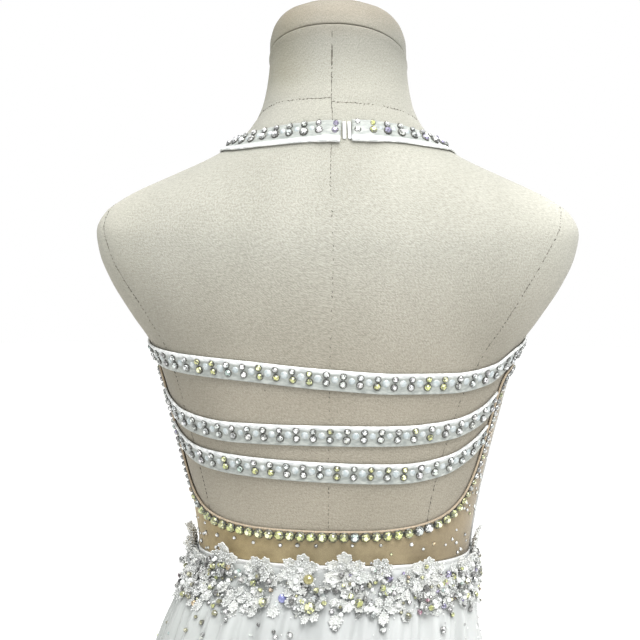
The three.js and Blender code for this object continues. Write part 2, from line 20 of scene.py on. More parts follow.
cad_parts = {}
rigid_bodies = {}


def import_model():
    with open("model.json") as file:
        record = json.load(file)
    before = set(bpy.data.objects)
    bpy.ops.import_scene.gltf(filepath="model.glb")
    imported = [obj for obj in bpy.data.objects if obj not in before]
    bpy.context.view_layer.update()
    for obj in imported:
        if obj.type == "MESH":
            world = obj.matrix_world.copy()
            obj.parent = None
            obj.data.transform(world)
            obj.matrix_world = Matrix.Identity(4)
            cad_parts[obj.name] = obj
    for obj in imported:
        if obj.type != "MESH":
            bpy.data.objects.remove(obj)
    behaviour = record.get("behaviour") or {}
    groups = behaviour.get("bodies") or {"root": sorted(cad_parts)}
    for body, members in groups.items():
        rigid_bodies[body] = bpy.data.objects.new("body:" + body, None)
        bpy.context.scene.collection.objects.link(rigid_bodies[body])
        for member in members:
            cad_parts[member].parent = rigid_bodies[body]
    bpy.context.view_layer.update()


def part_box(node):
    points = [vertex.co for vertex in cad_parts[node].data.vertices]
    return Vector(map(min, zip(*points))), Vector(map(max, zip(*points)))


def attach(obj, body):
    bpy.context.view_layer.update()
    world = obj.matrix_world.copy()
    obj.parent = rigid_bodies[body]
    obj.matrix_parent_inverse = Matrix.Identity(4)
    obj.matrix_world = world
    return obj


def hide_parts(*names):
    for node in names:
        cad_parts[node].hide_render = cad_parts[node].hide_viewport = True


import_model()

bl_info = {
    "name": "Lyrical dance dress on a form",
    "version": (1, 0, 0),
    "blender": (4, 5, 0),
    "location": "3D View > Sidebar > Dress",
    "description": "Makes the cloth, lace, stones and form of a lyrical dance dress",
    "category": "Object",
}

MM = 0.001

# ---- tables


def table(columns, *rows):
    """Rows of numbers as one array for each named column."""
    return {name: np.array([row[i] for row in rows], float) for i, name in enumerate(columns.split())}


# Sections of the form: half width, the depth of its widest line, its reach to the back and
# front, and how square the section is (2 is an ellipse).
FORM = table(
    "height half middle back front square",
    (745, 154, 8, 110, -98, 2.3), (800, 157, 10, 120, -100, 2.3), (850, 148, 8, 113, -98, 2.3),
    (900, 130, 4, 98, -94, 2.25), (950, 115, 0, 84, -90, 2.2), (1014, 112.5, -3, 79.5, -90, 2.2),
    (1045, 116, -3, 83, -95, 2.2), (1090, 125.5, -2, 92, -106, 2.25), (1125, 134, 0, 99, -117, 2.3),
    (1160, 143, 2, 104.5, -124, 2.35), (1185, 152, 4, 107, -123, 2.4), (1210, 169, 6, 108, -116, 2.4),
    (1240, 188, 8, 106, -103, 2.35), (1262, 197.5, 8, 102, -92, 2.3), (1280, 200.5, 8, 97, -83, 2.2),
    (1295, 194, 6, 91, -76, 2.05), (1310, 173, 4, 85, -71, 1.9), (1325, 141, 2, 79, -67, 1.8),
    (1340, 108, 0, 72, -64, 1.8), (1352, 87, -2, 66, -62, 1.9), (1365, 73, -4, 60, -62, 2),
    (1385, 62.5, -6, 54, -63, 2), (1405, 58.5, -7, 50, -63, 2), (1420, 57, -7, 48, -60, 2),
    (1435, 56.5, -3, 47, -50, 2), (1447, 53, 4, 46, -35, 2), (1456, 46.5, 11, 43, -18, 2),
    (1463, 36, 18, 38, -1, 2), (1468, 19, 22, 31, 12, 2),
)
FORM_TIP = (0, 22, 1469.5)
CAP_SEAM_HEIGHT, CAP_SEAM_DEPTH, CAP_SEAM_SLOPE = 1448, 47, 0.5

# The skirt's sections: swing is how far one hangs to the wearer's left, wave its folds' depth.
SKIRT = table(
    "height half middle back front square swing wave",
    (415, 270, 8, 234, -216, 2, 4, 25), (620, 230, 8, 194, -178, 2, 5, 18),
    (760, 196, 8, 161, -148, 2, 7, 12.5), (850, 169, 6, 135, -131, 2.05, 9, 8.5),
    (900, 150, 4, 118, -120, 2.05, 11, 6), (940, 135.5, 2, 103, -110, 2.1, 11.5, 3.5),
    (965, 129, 0, 96, -103, 2.15, 8.5, 2), (990, 119.5, -2, 86, -96, 2.2, 3, 1.3),
    (1007, 115.4, -3, 82.2, -92.6, 2.2, 0, 0.8), (1016, 114.4, -3, 81.4, -91.8, 2.2, 0, 0.8),
    (1045, 118.5, -3, 85.5, -97.5, 2.2, 0, 0.8),
)
SKIRT_FOLDS = [  # angle, spread, reach, drift
    (-168, 13, 0.9, -2), (-146, 11, 0.75, 2), (-124, 13, 1, 0), (-103, 11, 0.8, -2), (-71, 11, 0.85, 3),
    (-51, 12, 1, 1), (-30, 11, 0.8, -2), (-9, 12, 0.95, 1), (12, 11, 0.8, 2), (33, 12, 1, -1),
    (53, 10, 0.75, 2), (70, 10, 0.85, -1), (91, 13, 1.15, 1), (114, 11, 0.8, -1), (134, 12, 1, 1),
    (156, 11, 0.8, 2), (174, 10, 0.7, -1),
]

BACK_EDGE = table(
    "angle height",
    (0, 1042.5), (20, 1043), (32, 1044.5), (42, 1047), (52, 1051.5), (61, 1059), (68, 1070), (72, 1083),
    (74.5, 1100), (75.5, 1125), (76.5, 1146), (77.5, 1159), (80, 1166.5), (86, 1170), (96.8, 1173),
)
BODICE_TOP = table(
    "column height",
    (0, 1172), (1, 1190), (2, 1216), (3, 1238), (4, 1238), (5, 1227), (6, 1219), (8, 1207), (11, 1199),
    (14, 1195),
)
BODICE_COLUMNS = 28

BACK_STRAPS = {
    "top": table(
        "angle height", (-95, 1188), (-75, 1181), (-60, 1169), (-40, 1164), (-20, 1164), (20, 1172),
        (60, 1177), (85, 1182), (102, 1188),
    ),
    "middle": table(
        "angle height", (-75, 1150), (-60, 1134), (-45, 1126), (-20, 1122), (30, 1122), (55, 1127), (82, 1144)
    ),
    "lower": table(
        "angle height", (-74, 1124), (-60, 1107), (-45, 1096), (-25, 1091), (20, 1094), (50, 1098), (82, 1117)
    ),
}
NECK_STRAP = table(
    "angle left right",
    (0, 1360, 1361), (20, 1358, 1360.3), (43, 1354.5, 1358.5), (60, 1351.5, 1355), (75, 1350.5, 1352.5),
    (90, 1349.5, 1351), (110, 1344.5, 1346), (129, 1334, 1337), (146, 1311, 1314),
    (155.2, 1290.5, 1291.5), (159, 1270, 1270), (159.8, 1255, 1255), (159.3, 1240.5, 1240.5),
)
FLOWERS = [  # angle, height, radius, turn, lift
    (89, 1011, 24, 10, 9), (66.5, 1000, 17, 40, 3), (43, 1013, 16, 18, 4), (24.5, 1011, 13, 50, 3),
    (8, 1011, 17, 12, 4), (-7.5, 1012, 17, 30, 4), (-21, 1014, 10, 0, 3), (-42, 1005, 19, 22, 4),
    (-68, 1000, 18, 55, 3), (-91, 1011, 24, 5, 9), (-112, 1004, 18, 30, 3), (-134, 1008, 17, 8, 4),
    (-156, 1002, 18, 44, 3), (-178, 1010, 19, 15, 4), (160, 1003, 17, 35, 3), (137, 1009, 18, 0, 4),
    (112, 1002, 18, 25, 3),
]


def mirrored(seam, *places):
    """A seam's line on the wearer's left and its image on the right."""
    return {"left_" + seam: places, "right_" + seam: [(-angle, height) for angle, height in places]}


# The form's own seams, each a line of angles and heights.
FORM_SEAMS = {
    "centre_back": [
        (-1, 745), (-1, 1020), (-1.1, 1200), (-1.3, 1340), (-1, 1372), (0, 1388), (0.5, 1447),
    ],
    "centre_front": [(180, 745), (180, 1100), (180, 1340), (180, 1393)],
    **mirrored("side", (91, 745), (91, 1000), (91, 1226)),
    "left_back": [
        (60, 745), (58, 900), (56, 1060), (57, 1150), (57, 1210), (62, 1248), (70, 1284), (80, 1300),
        (90, 1305),
    ],
    "right_back": [
        (-50, 745), (-46, 900), (-42, 1050), (-46, 1140), (-52, 1190), (-55, 1240), (-62, 1276), (-75, 1298),
        (-90, 1305),
    ],
    **mirrored(
        "front", (126, 745), (128, 900), (130, 1014), (126, 1100), (124, 1160), (124, 1210), (120, 1240),
        (114, 1266), (107, 1286), (99, 1299), (90, 1305),
    ),
    **mirrored("shoulder", (90, 1306), (91, 1325), (92, 1345), (92, 1370)),
    "left_neck": [(0, 1388), (40, 1386), (92, 1370), (130, 1350), (180, 1338)],
    "right_neck": [(0, 1385), (-40, 1382), (-92, 1370), (-130, 1350), (-180, 1338)],
}


# ---- sizes

SEAM_GAP = 0.3
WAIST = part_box("bodice_back_mesh")[0].z / MM - SEAM_GAP
FORM_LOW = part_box("form_torso")[0].z / MM
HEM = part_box("skirt_back")[0].z / MM
DRESS_TURN = 4  # how far the dress sits turned on the form, in degrees
SIDE_SEAM = 97  # the bodice's side seams, in degrees from its centre back
EDGE_END = BACK_EDGE["angle"][-1]
CLEARANCE = 0.9  # from the form to the cloth on it
BODICE_EASE = 1.8
SPANDEX, NUDE_MESH, CHIFFON, LACE = 1.5, 1.0, 1.2, 1.0  # how thick each cloth is
BINDING_WIDTH = 3.5
LACE_OUT = CHIFFON + 0.8
FLOWER_OUT = LACE_OUT + LACE + 0.7
CLASP_SPANS = {"neck_clasp_hook": (-9.8, -7.3), "neck_clasp_bar": (-12.8, -10.4)}
LEFT_STRAP_END, RIGHT_STRAP_END = -6.6, -13.2
CLASP_HEM = 19.0  # length of the neck straps' folded hem at the clasp


# ---- curves and surfaces


def curve(xs, ys):
    """A smooth curve through two columns that never overshoots between its rows."""
    xs, ys = np.asarray(xs, float), np.asarray(ys, float)
    secants = np.diff(ys) / np.diff(xs)
    before, after = np.r_[secants[:1], secants], np.r_[secants, secants[-1:]]
    both = before + after
    slopes = np.where(before * after > 0, 2 * before * after / np.where(both == 0, 1, both), 0)

    def at(x):
        held = np.clip(x, xs[0], xs[-1])
        k = np.clip(np.searchsorted(xs, held, side="right") - 1, 0, len(xs) - 2)
        span, rise = xs[k + 1] - xs[k], ys[k + 1] - ys[k]
        t = (held - xs[k]) / span
        start, end = slopes[k] * span - rise, rise - slopes[k + 1] * span
        return ys[k] + rise * t + (1 - t) * t * ((1 - t) * start + t * end)

    return at


def path(angles, heights):
    """A line through angles and heights, from the first (0) to the last (1)."""
    steps = np.arange(len(angles))
    angle, height = curve(steps, angles), curve(steps, heights)
    return lambda t: (angle(np.asarray(t) * steps[-1]), height(np.asarray(t) * steps[-1]))


def sections(rows):
    curves = {name: curve(rows["height"], rows[name]) for name in rows if name != "height"}
    return lambda height: {name: at(height) for name, at in curves.items()}


form_at, skirt_at = sections(FORM), sections(SKIRT)


def rounded(value, square):
    return np.sign(value) * np.abs(value) ** (2 / square)


def section_point(section, angle, height):
    turn = np.radians(angle)
    along = rounded(np.cos(turn), section["square"])
    reach = np.where(along >= 0, section["back"] - section["middle"], section["middle"] - section["front"])
    x = section["half"] * rounded(np.sin(turn), section["square"])
    return np.stack(np.broadcast_arrays(x, section["middle"] + reach * along, height), -1)


def form(angle, height):
    return section_point(form_at(height), angle, height)


def unit(vectors):
    return vectors / np.maximum(np.linalg.norm(vectors, axis=-1, keepdims=True), 1e-12)


def apart(angle, other):
    """How far an angle lies from another, from -180 to 180."""
    return (angle - other + 180) % 360 - 180


def fold_reach(angle, height):
    """How far a place on the skirt stands out of its folds' middle: -1 in the valleys."""
    fallen = (WAIST - height) / (WAIST - HEM)
    reach = -1.0
    for ridge, spread, high, drift in SKIRT_FOLDS:
        away = np.abs(apart(angle - ridge, drift * fallen))
        reach = reach + np.where(away < spread, high * (1 + np.cos(np.pi * away / spread)), 0)
    return reach


def skirt(angle, height):
    section = skirt_at(height)
    around = section_point(section, angle + 1, height) - section_point(section, angle - 1, height)
    outward = unit(np.stack([-around[..., 1], around[..., 0], 0 * around[..., 0]], -1))
    wave = (section["wave"] * fold_reach(angle, height))[..., None]
    point = section_point(section, angle, height) + outward * wave
    point[..., 0] += section["swing"]
    return point


def lie(surface, angle, height):
    """A place on a surface: its point, the way out, the way round and the way up."""
    angle, height = np.broadcast_arrays(np.asarray(angle, float), np.asarray(height, float))
    step = 0.2
    around = surface(angle + step, height) - surface(angle - step, height)
    upward = surface(angle, height + step) - surface(angle, height - step)
    out = unit(np.cross(upward, around))
    return surface(angle, height), out, unit(around), unit(upward)


def moved_out(surface, angle, height, out):
    point, way, _, _ = lie(surface, angle, height)
    return point + way * np.broadcast_to(out, point.shape[:-1])[..., None]


def walk(angle, height, vector):
    """Walks over the form from angles and heights by vectors in millimetres."""
    paces, step = 4, 0.2
    for _ in range(paces):
        start = form(angle, height)
        around = (form(angle + step, height) - start) / step
        upward = (form(angle, height + step) - start) / step
        shared = (around * upward).sum(-1)
        wide, tall = (around**2).sum(-1), (upward**2).sum(-1)
        scale = paces * (wide * tall - shared**2)
        along, rise = (around * vector).sum(-1), (upward * vector).sum(-1)
        angle = angle + (along * tall - rise * shared) / scale
        height = height + (rise * wide - along * shared) / scale
    return angle, height


def beside(line, t, distance):
    """The places beside a line on the form, a distance to the left of its direction."""
    t = np.asarray(t, float)
    step = 0.002
    angle, height = line(t)
    along = unit(form(*line(np.minimum(t + step, 1))) - form(*line(np.maximum(t - step, 0))))
    _, out, _, _ = lie(form, angle, height)
    sideways = unit(np.cross(along, out))
    return walk(angle, height, sideways * np.broadcast_to(distance, t.shape)[..., None])


_half_back_edge = path(BACK_EDGE["angle"], BACK_EDGE["height"])


def back_edge(t):
    """The scooped back edge, from the wearer's right side seam (0) to the left (1)."""
    part = 2 * np.asarray(t, float) - 1
    angle, height = _half_back_edge(np.abs(part))
    return DRESS_TURN + np.sign(part) * angle, height


def waist_below(t):
    """The angles at the waist seam where the mesh that hangs from parts of the back edge ends."""
    part = 2 * t - 1
    return DRESS_TURN + EDGE_END * np.sign(part) * np.abs(part) ** 0.6


def lengths_along(points):
    """How far each point lies along the line from the first."""
    return np.r_[0, np.cumsum(np.linalg.norm(np.diff(points, axis=0), axis=1))]


def evenly(points, pitch, start=0.0):
    """Parts of a line (0 to 1) that lie a pitch apart along its points."""
    lengths = lengths_along(points)
    marks = np.arange(start, lengths[-1], pitch)
    return np.interp(marks, lengths, np.linspace(0, 1, len(points)))


def smooth(value, low, high):
    t = np.clip((value - low) / (high - low), 0, 1)
    return t * t * (3 - 2 * t)


# ---- meshes


def added(name, data):
    """A new object of some data, linked to the scene."""
    made = bpy.data.objects.new(name, data)
    bpy.context.scene.collection.objects.link(made)
    return made


def volume(points, blocks):
    total = 0.0
    for block in blocks:
        for k in range(1, block.shape[1] - 1):
            a, b, c = points[block[:, 0]], points[block[:, k]], points[block[:, k + 1]]
            total += (a * np.cross(b, c)).sum()
    return total


def unrolled(block, uv):
    """Cloth coordinates at a block's corners, without the jump where a ring closes."""
    corners = uv[block]
    low, span = uv[:, 0].min(), np.ptp(uv[:, 0])
    wide = np.ptp(corners[..., 0], axis=1)
    jumps = wide > span / 2
    step = np.median(wide[~jumps]) if not jumps.all() else 0.0
    corners[..., 0] += np.where(jumps[:, None] & (corners[..., 0] < low + span / 2), span + step, 0)
    return corners.reshape(-1, 2)


def new_piece(name, points, blocks, finish, uv=None, flat=False):
    """A piece from points in millimetres and blocks of faces, with its faces turned outwards."""
    if volume(points, blocks) < 0:
        blocks = [block[:, ::-1] for block in blocks]
    mesh = bpy.data.meshes.new(name)
    loops = np.concatenate([block.ravel() for block in blocks])
    sizes = np.concatenate([np.full(len(block), block.shape[1]) for block in blocks])
    mesh.vertices.add(len(points))
    mesh.vertices.foreach_set("co", (points * MM).ravel())
    mesh.loops.add(len(loops))
    mesh.loops.foreach_set("vertex_index", loops)
    mesh.polygons.add(len(sizes))
    mesh.polygons.foreach_set("loop_start", np.cumsum(sizes) - sizes)
    mesh.polygons.foreach_set("use_smooth", np.full(len(sizes), not flat))
    mesh.update(calc_edges=True)
    if uv is not None:
        layer = mesh.uv_layers.new(name="cloth")
        corners = np.concatenate([unrolled(block, uv) for block in blocks])
        layer.data.foreach_set("uv", (corners * MM).ravel())
    mesh.materials.append(finish)
    return added(name, mesh)


def grid_faces(rows, columns, closed, first=0):
    """The faces of a grid of points, stored row by row, seen from outside."""
    r, c = np.meshgrid(np.arange(rows - 1), np.arange(columns if closed else columns - 1), indexing="ij")
    a, b = r * columns + c, r * columns + (c + 1) % columns
    return np.stack([a, a + columns, b + columns, b], -1).reshape(-1, 4) + first


def wall_faces(rows, columns):
    """The faces of a closed wall between two like grids of points, the outer one stored first."""
    count, top = rows * columns, (rows - 1) * columns
    c, r = np.arange(columns - 1), np.arange(rows - 1) * columns
    end = r + columns - 1
    return np.concatenate(
        [
            grid_faces(rows, columns, False),
            grid_faces(rows, columns, False, count)[:, ::-1],
            np.stack([c, c + 1, c + 1 + count, c + count], -1),
            np.stack([top + c, top + c + count, top + c + 1 + count, top + c + 1], -1),
            np.stack([r, r + count, r + columns + count, r + columns], -1),
            np.stack([end, end + columns, end + columns + count, end + count], -1),
        ]
    )


def cloth(name, outer, inner, finish, uv):
    """A closed wall between an outer and an inner grid of points."""
    points = np.concatenate([outer.reshape(-1, 3), inner.reshape(-1, 3)])
    both = np.concatenate([uv.reshape(-1, 2)] * 2)
    return new_piece(name, points, [wall_faces(*outer.shape[:2])], finish, both)


def swept(name, rings, finish, uv):
    """A closed bar through rings of points, one ring for each station."""
    stations, around = rings.shape[:2]
    sides = grid_faces(stations, around, True)
    ends = np.stack([np.arange(around), (stations - 1) * around + np.arange(around)[::-1]])
    return new_piece(name, rings.reshape(-1, 3), [sides, ends], finish, uv.reshape(-1, 2))


def keep(piece, replaces=()):
    """The piece rides on the part's one body and stands for the nodes that it replaces."""
    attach(piece, "root")
    if replaces:
        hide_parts(*replaces)
    return piece


def joined(name, blocks_of, finish, flat=True):
    """One piece from many: a list of (points, faces, colours), faces being one array each."""
    points, faces, colours, first = [], {}, {}, 0
    for part_points, part_faces, part_colours in blocks_of:
        size = part_faces.shape[1]
        faces.setdefault(size, []).append(part_faces + first)
        colours.setdefault(size, []).append(part_colours)
        points.append(part_points)
        first += len(part_points)
    mesh_points = np.concatenate(points)
    sizes = sorted(faces)
    blocks = [np.concatenate(faces[size]) for size in sizes]
    turned = volume(mesh_points, blocks) < 0
    piece = new_piece(name, mesh_points, blocks, finish, flat=flat)
    if colours[sizes[0]][0] is not None:
        corners = np.concatenate([np.repeat(np.concatenate(colours[size]), size, axis=0) for size in sizes])
        layer = piece.data.color_attributes.new("colour_and_facet_light", "FLOAT_COLOR", "CORNER")
        layer.data.foreach_set("color", np.c_[corners, np.ones(len(corners))].ravel())
    assert not turned, name
    return piece


# ---- small shapes, modelled once


def deselect():
    if bpy.context.mode != "OBJECT":
        bpy.ops.object.mode_set(mode="OBJECT")
    bpy.ops.object.select_all(action="DESELECT")


def in_edit_mode(*steps):
    bpy.ops.object.mode_set(mode="EDIT")
    for step in steps:
        step()
    bpy.ops.object.mode_set(mode="OBJECT")


def on_whole_mesh(*steps):
    """Takes steps in edit mode, each with all of the active object's mesh selected."""
    for step in steps:
        in_edit_mode(lambda: bpy.ops.mesh.select_all(action="SELECT"), step)


def select_faces(choose):
    """Selects the faces of the active object that choose says yes to."""
    in_edit_mode(
        lambda: bpy.ops.mesh.select_mode(type="FACE"),
        lambda: bpy.ops.mesh.select_all(action="DESELECT"),
    )
    for face in bpy.context.object.data.polygons:
        face.select = choose(face)


def raise_faces(rise, share, turn=0.0):
    """Extrudes the selected faces upwards, narrows them to a share and turns them."""
    in_edit_mode(
        lambda: bpy.ops.mesh.extrude_region_move(TRANSFORM_OT_translate={"value": (0, 0, rise)}),
        lambda: bpy.ops.transform.resize(value=(share, share, 1), center_override=(0, 0, 0)),
        lambda: bpy.ops.transform.rotate(value=turn, orient_axis="Z", center_override=(0, 0, 0)),
    )


def settle(mesh):
    """Stores a mesh in an order of its own, since the order that the tools leave changes each run."""
    points = np.array([vertex.co[:] for vertex in mesh.vertices])
    order = np.lexsort(points.round(5).T)
    places = np.argsort(order)
    faces = [places[list(face.vertices)] for face in mesh.polygons]
    faces = sorted(np.roll(face, -face.argmin()).tolist() for face in faces)
    mesh.clear_geometry()
    mesh.from_pydata(points[order], [], faces)


def taken():
    """The active object's points and triangles as arrays, after which the object is removed."""
    on_whole_mesh(bpy.ops.mesh.quads_convert_to_tris)
    shape = bpy.context.object
    settle(shape.data)
    points = np.array([vertex.co[:] for vertex in shape.data.vertices])
    faces = np.array([face.vertices[:] for face in shape.data.polygons])
    bpy.data.objects.remove(shape)
    deselect()
    return points, faces


def disc(sides, depth, height):
    """Adds a low cylinder, 1 across, with its middle at a height."""
    deselect()
    bpy.ops.mesh.primitive_cylinder_add(vertices=sides, radius=0.5, depth=depth, location=(0, 0, height))
    bpy.ops.object.transform_apply(location=True)


def crystal_shape(sides):
    """A flat-backed cut stone, 1 across: a girdle, a steep turned crown and a table."""
    disc(sides, 0.1, 0.05)
    select_faces(lambda face: face.normal.z > 0.9)
    raise_faces(0.2, 0.84, math.pi / sides)
    raise_faces(0.17, 0.55, math.pi / sides)
    return taken()


def setting_shape():
    """The low dark cup that a stone sits in, 1 across; set a little wider than its stone, its dark rim also
    stands in as painted shade round the stone.
    """
    disc(10, 0.1, 0.05)
    select_faces(lambda face: face.normal.z > 0.9)
    raise_faces(0.07, 0.86)
    return taken()


def pearl_shape():
    """A low round cabochon, 1 across, flat underneath."""
    deselect()
    bpy.ops.mesh.primitive_uv_sphere_add(segments=10, ring_count=6, radius=0.5)
    on_whole_mesh(
        lambda: bpy.ops.mesh.bisect(plane_co=(0, 0, 0), plane_no=(0, 0, 1), use_fill=True, clear_inner=True),
        lambda: bpy.ops.transform.resize(value=(1, 1, 0.62), center_override=(0, 0, 0)),
    )
    return taken()


def bead_shape(subdivisions, rise):
    """A round bead, 1 across, with its middle at a height."""
    deselect()
    bpy.ops.mesh.primitive_ico_sphere_add(subdivisions=subdivisions, radius=0.5)
    on_whole_mesh(lambda: bpy.ops.transform.translate(value=(0, 0, rise)))
    return taken()


def sequin_shape():
    """A cupped sequin, 1 across, with a dimple where its thread holds it."""
    disc(8, 0.05, 0.17)
    select_faces(lambda face: abs(face.normal.z) > 0.9)
    in_edit_mode(
        lambda: bpy.ops.mesh.inset(thickness=0.22),
        lambda: bpy.ops.transform.translate(value=(0, 0, -0.11)),
    )
    return taken()


SHAPES = {}


def shape(name):
    if not SHAPES:
        SHAPES.update(
            crystal=crystal_shape(8),
            big_crystal=crystal_shape(12),
            setting=setting_shape(),
            pearl=pearl_shape(),
            bead=bead_shape(2, 0.32),
            seed=bead_shape(1, 0.3),
            sequin=sequin_shape(),
        )
    return SHAPES[name]


def set_down(kind, point, out, size, spin, colour=None, facets=None, stretch=1.0):
    """A copy of a small shape, standing on a point with its top the way out."""
    points, faces = shape(kind)
    out = Vector(out).normalized()
    side = out.orthogonal().normalized()
    side.rotate(Matrix.Rotation(spin, 3, out))
    turn = np.array([side, out.cross(side), out]).T
    placed = (points * (size * stretch, size, size)) @ turn.T + point
    colours = None
    if colour is not None:
        shade = np.ones(len(faces)) if facets is None else facets(points, faces)
        # Facet tones above 1 are whitened as painted highlights, those below darkened as painted shade.
        colours = np.clip(np.outer(shade, colour) + np.maximum(shade - 1, 0)[:, None] * 1.6, 0, 1)
    return placed, faces, colours


# Tones of painted facet light: below 1 painted shade, above 1 painted highlight.
DEEP_FACET_LIGHT, BRIGHT_FACET_LIGHT = (0.06, 0.12, 0.22, 0.45, 0.8, 1.15), (0.35, 0.6, 0.9, 1.15, 1.3)


def painted_facet_light(rng, tones=DEEP_FACET_LIGHT):
    """Painted light on a stone's facets, standing in for what cut glass over foil reflects: a dark painted
    shadow on the girdle, bright and dark facets at random on the crown, and a bright table.
    """

    def shades(points, faces):
        low = points[faces][:, :, 2].mean(1) / points[:, 2].max()
        crown = np.array([rng.choice(tones) for _ in faces])
        table = np.where(low > 0.97, rng.choice((0.75, 1.0, 1.25)), crown)
        return np.where(low < 0.22, 0.04 + 0.05 * rng.random(), table)

    return shades


# ---- materials


class Nodes:
    """Shader nodes that are added to one tree."""

    def __init__(self, tree):
        self.tree = tree

    def node(self, kind, inputs=(), **settings):
        """A node with its settings, and with values or other nodes' outputs on its inputs."""
        made = self.tree.nodes.new(kind)
        for name, value in settings.items():
            setattr(made, name, value)
        for socket, value in dict(inputs).items():
            self.put(value, made.inputs[socket])
        return made

    def put(self, value, socket):
        """A value or another node's output on a socket."""
        if isinstance(value, bpy.types.NodeSocket):
            self.tree.links.new(value, socket)
        else:
            socket.default_value = value

    def share(self, value, low, high):
        """0 where a value is low, 1 where it is high and even between."""
        inputs = {"Value": value, "From Min": low, "From Max": high}
        return self.node("ShaderNodeMapRange", inputs).outputs["Result"]

    def ramp(self, value, *stops):
        """Colours between stops, each a position and an (r, g, b)."""
        made = self.node("ShaderNodeValToRGB", {"Fac": value})
        elements = made.color_ramp.elements
        while len(elements) < len(stops):
            elements.new(0.5)
        for element, (position, colour) in zip(elements, stops):
            element.position, element.color = position, (*colour, 1)
        return made.outputs["Color"]


FINISHES = {}


class Finish(Nodes):
    """A node material whose own shader sockets hold its plain values, kept under its name."""

    def __init__(self, name, colour, roughness, **values):
        self.material = bpy.data.materials.new(name)
        self.material.use_nodes = True
        super().__init__(self.material.node_tree)
        self.shader = self.tree.nodes["Principled BSDF"]
        self.shader.inputs["Base Color"].default_value = (*colour, 1)
        self.shader.inputs["Roughness"].default_value = roughness
        for socket, value in values.items():
            self.shader.inputs[socket.replace("_", " ")].default_value = value
        self.material.diffuse_color = (*colour, 1)
        FINISHES[name] = self

    def place(self, kind="Object", scale=(1, 1, 1), turn=0.0):
        """Object or UV coordinates in millimetres, turned and then stretched by a scale."""
        vector = self.node("ShaderNodeTexCoord").outputs[kind]
        if turn:
            turned = {"Vector": vector, "Rotation": (0, 0, math.radians(turn))}
            vector = self.node("ShaderNodeMapping", turned).outputs["Vector"]
        sizes = tuple(1000 * part for part in scale)
        return self.node("ShaderNodeMapping", {"Vector": vector, "Scale": sizes}).outputs["Vector"]

    def axis(self, name, kind="Object"):
        """One of the coordinates, in millimetres."""
        return self.node("ShaderNodeSeparateXYZ", {0: self.place(kind)}).outputs[name]

    def across(self):
        """0 at the wearer's far right, 1 at the far left."""
        return self.math("MULTIPLY_ADD", self.axis("X"), 0.0025, 0.5)

    def noise(self, scale, detail=2.0, kind="Object", stretch=(1, 1, 1), rough=0.5, turn=0.0):
        vector = self.place(kind, stretch, turn)
        inputs = {"Vector": vector, "Scale": scale, "Detail": detail, "Roughness": rough}
        return self.node("ShaderNodeTexNoise", inputs).outputs["Fac"]

    def math(self, operation, *values):
        return self.node("ShaderNodeMath", dict(enumerate(values)), operation=operation).outputs[0]

    def mixed(self, amount, one, other, blend="MIX"):
        made = self.node("ShaderNodeMix", {"Factor": amount}, data_type="RGBA", blend_type=blend)
        for socket, value in ((6, one), (7, other)):
            self.put(value, made.inputs[socket])
        return made.outputs[2]

    def times(self, one, other):
        return self.mixed(1.0, one, other, "MULTIPLY")

    def colour(self, output):
        self.put(output, self.shader.inputs["Base Color"])
        return self

    def rough(self, value, low, high):
        made = self.node("ShaderNodeMapRange", {"Value": value, "To Min": low, "To Max": high})
        self.put(made.outputs["Result"], self.shader.inputs["Roughness"])
        return self

    def bump(self, height, distance, strength=1.0):
        """Relief of a distance in millimetres, over any that is there."""
        inputs = {"Height": height, "Distance": distance * MM, "Strength": strength}
        made = self.node("ShaderNodeBump", inputs)
        last = self.shader.inputs["Normal"]
        if last.links:
            self.put(last.links[0].from_socket, made.inputs["Normal"])
        self.put(made.outputs["Normal"], last)
        return self


def toned(colour, share):
    return tuple(min(1.0, part * share) for part in colour)


def finish(name):
    if not FINISHES:
        for make in MAKERS:
            make(bpy.context.scene.dress_looks)
    return FINISHES[name].material


PLAIN = (1, 1, 1)
THIN = {"Subsurface_Weight": 0.65, "Subsurface_Radius": (1, 1, 1), "Subsurface_Scale": 2.2 * MM}


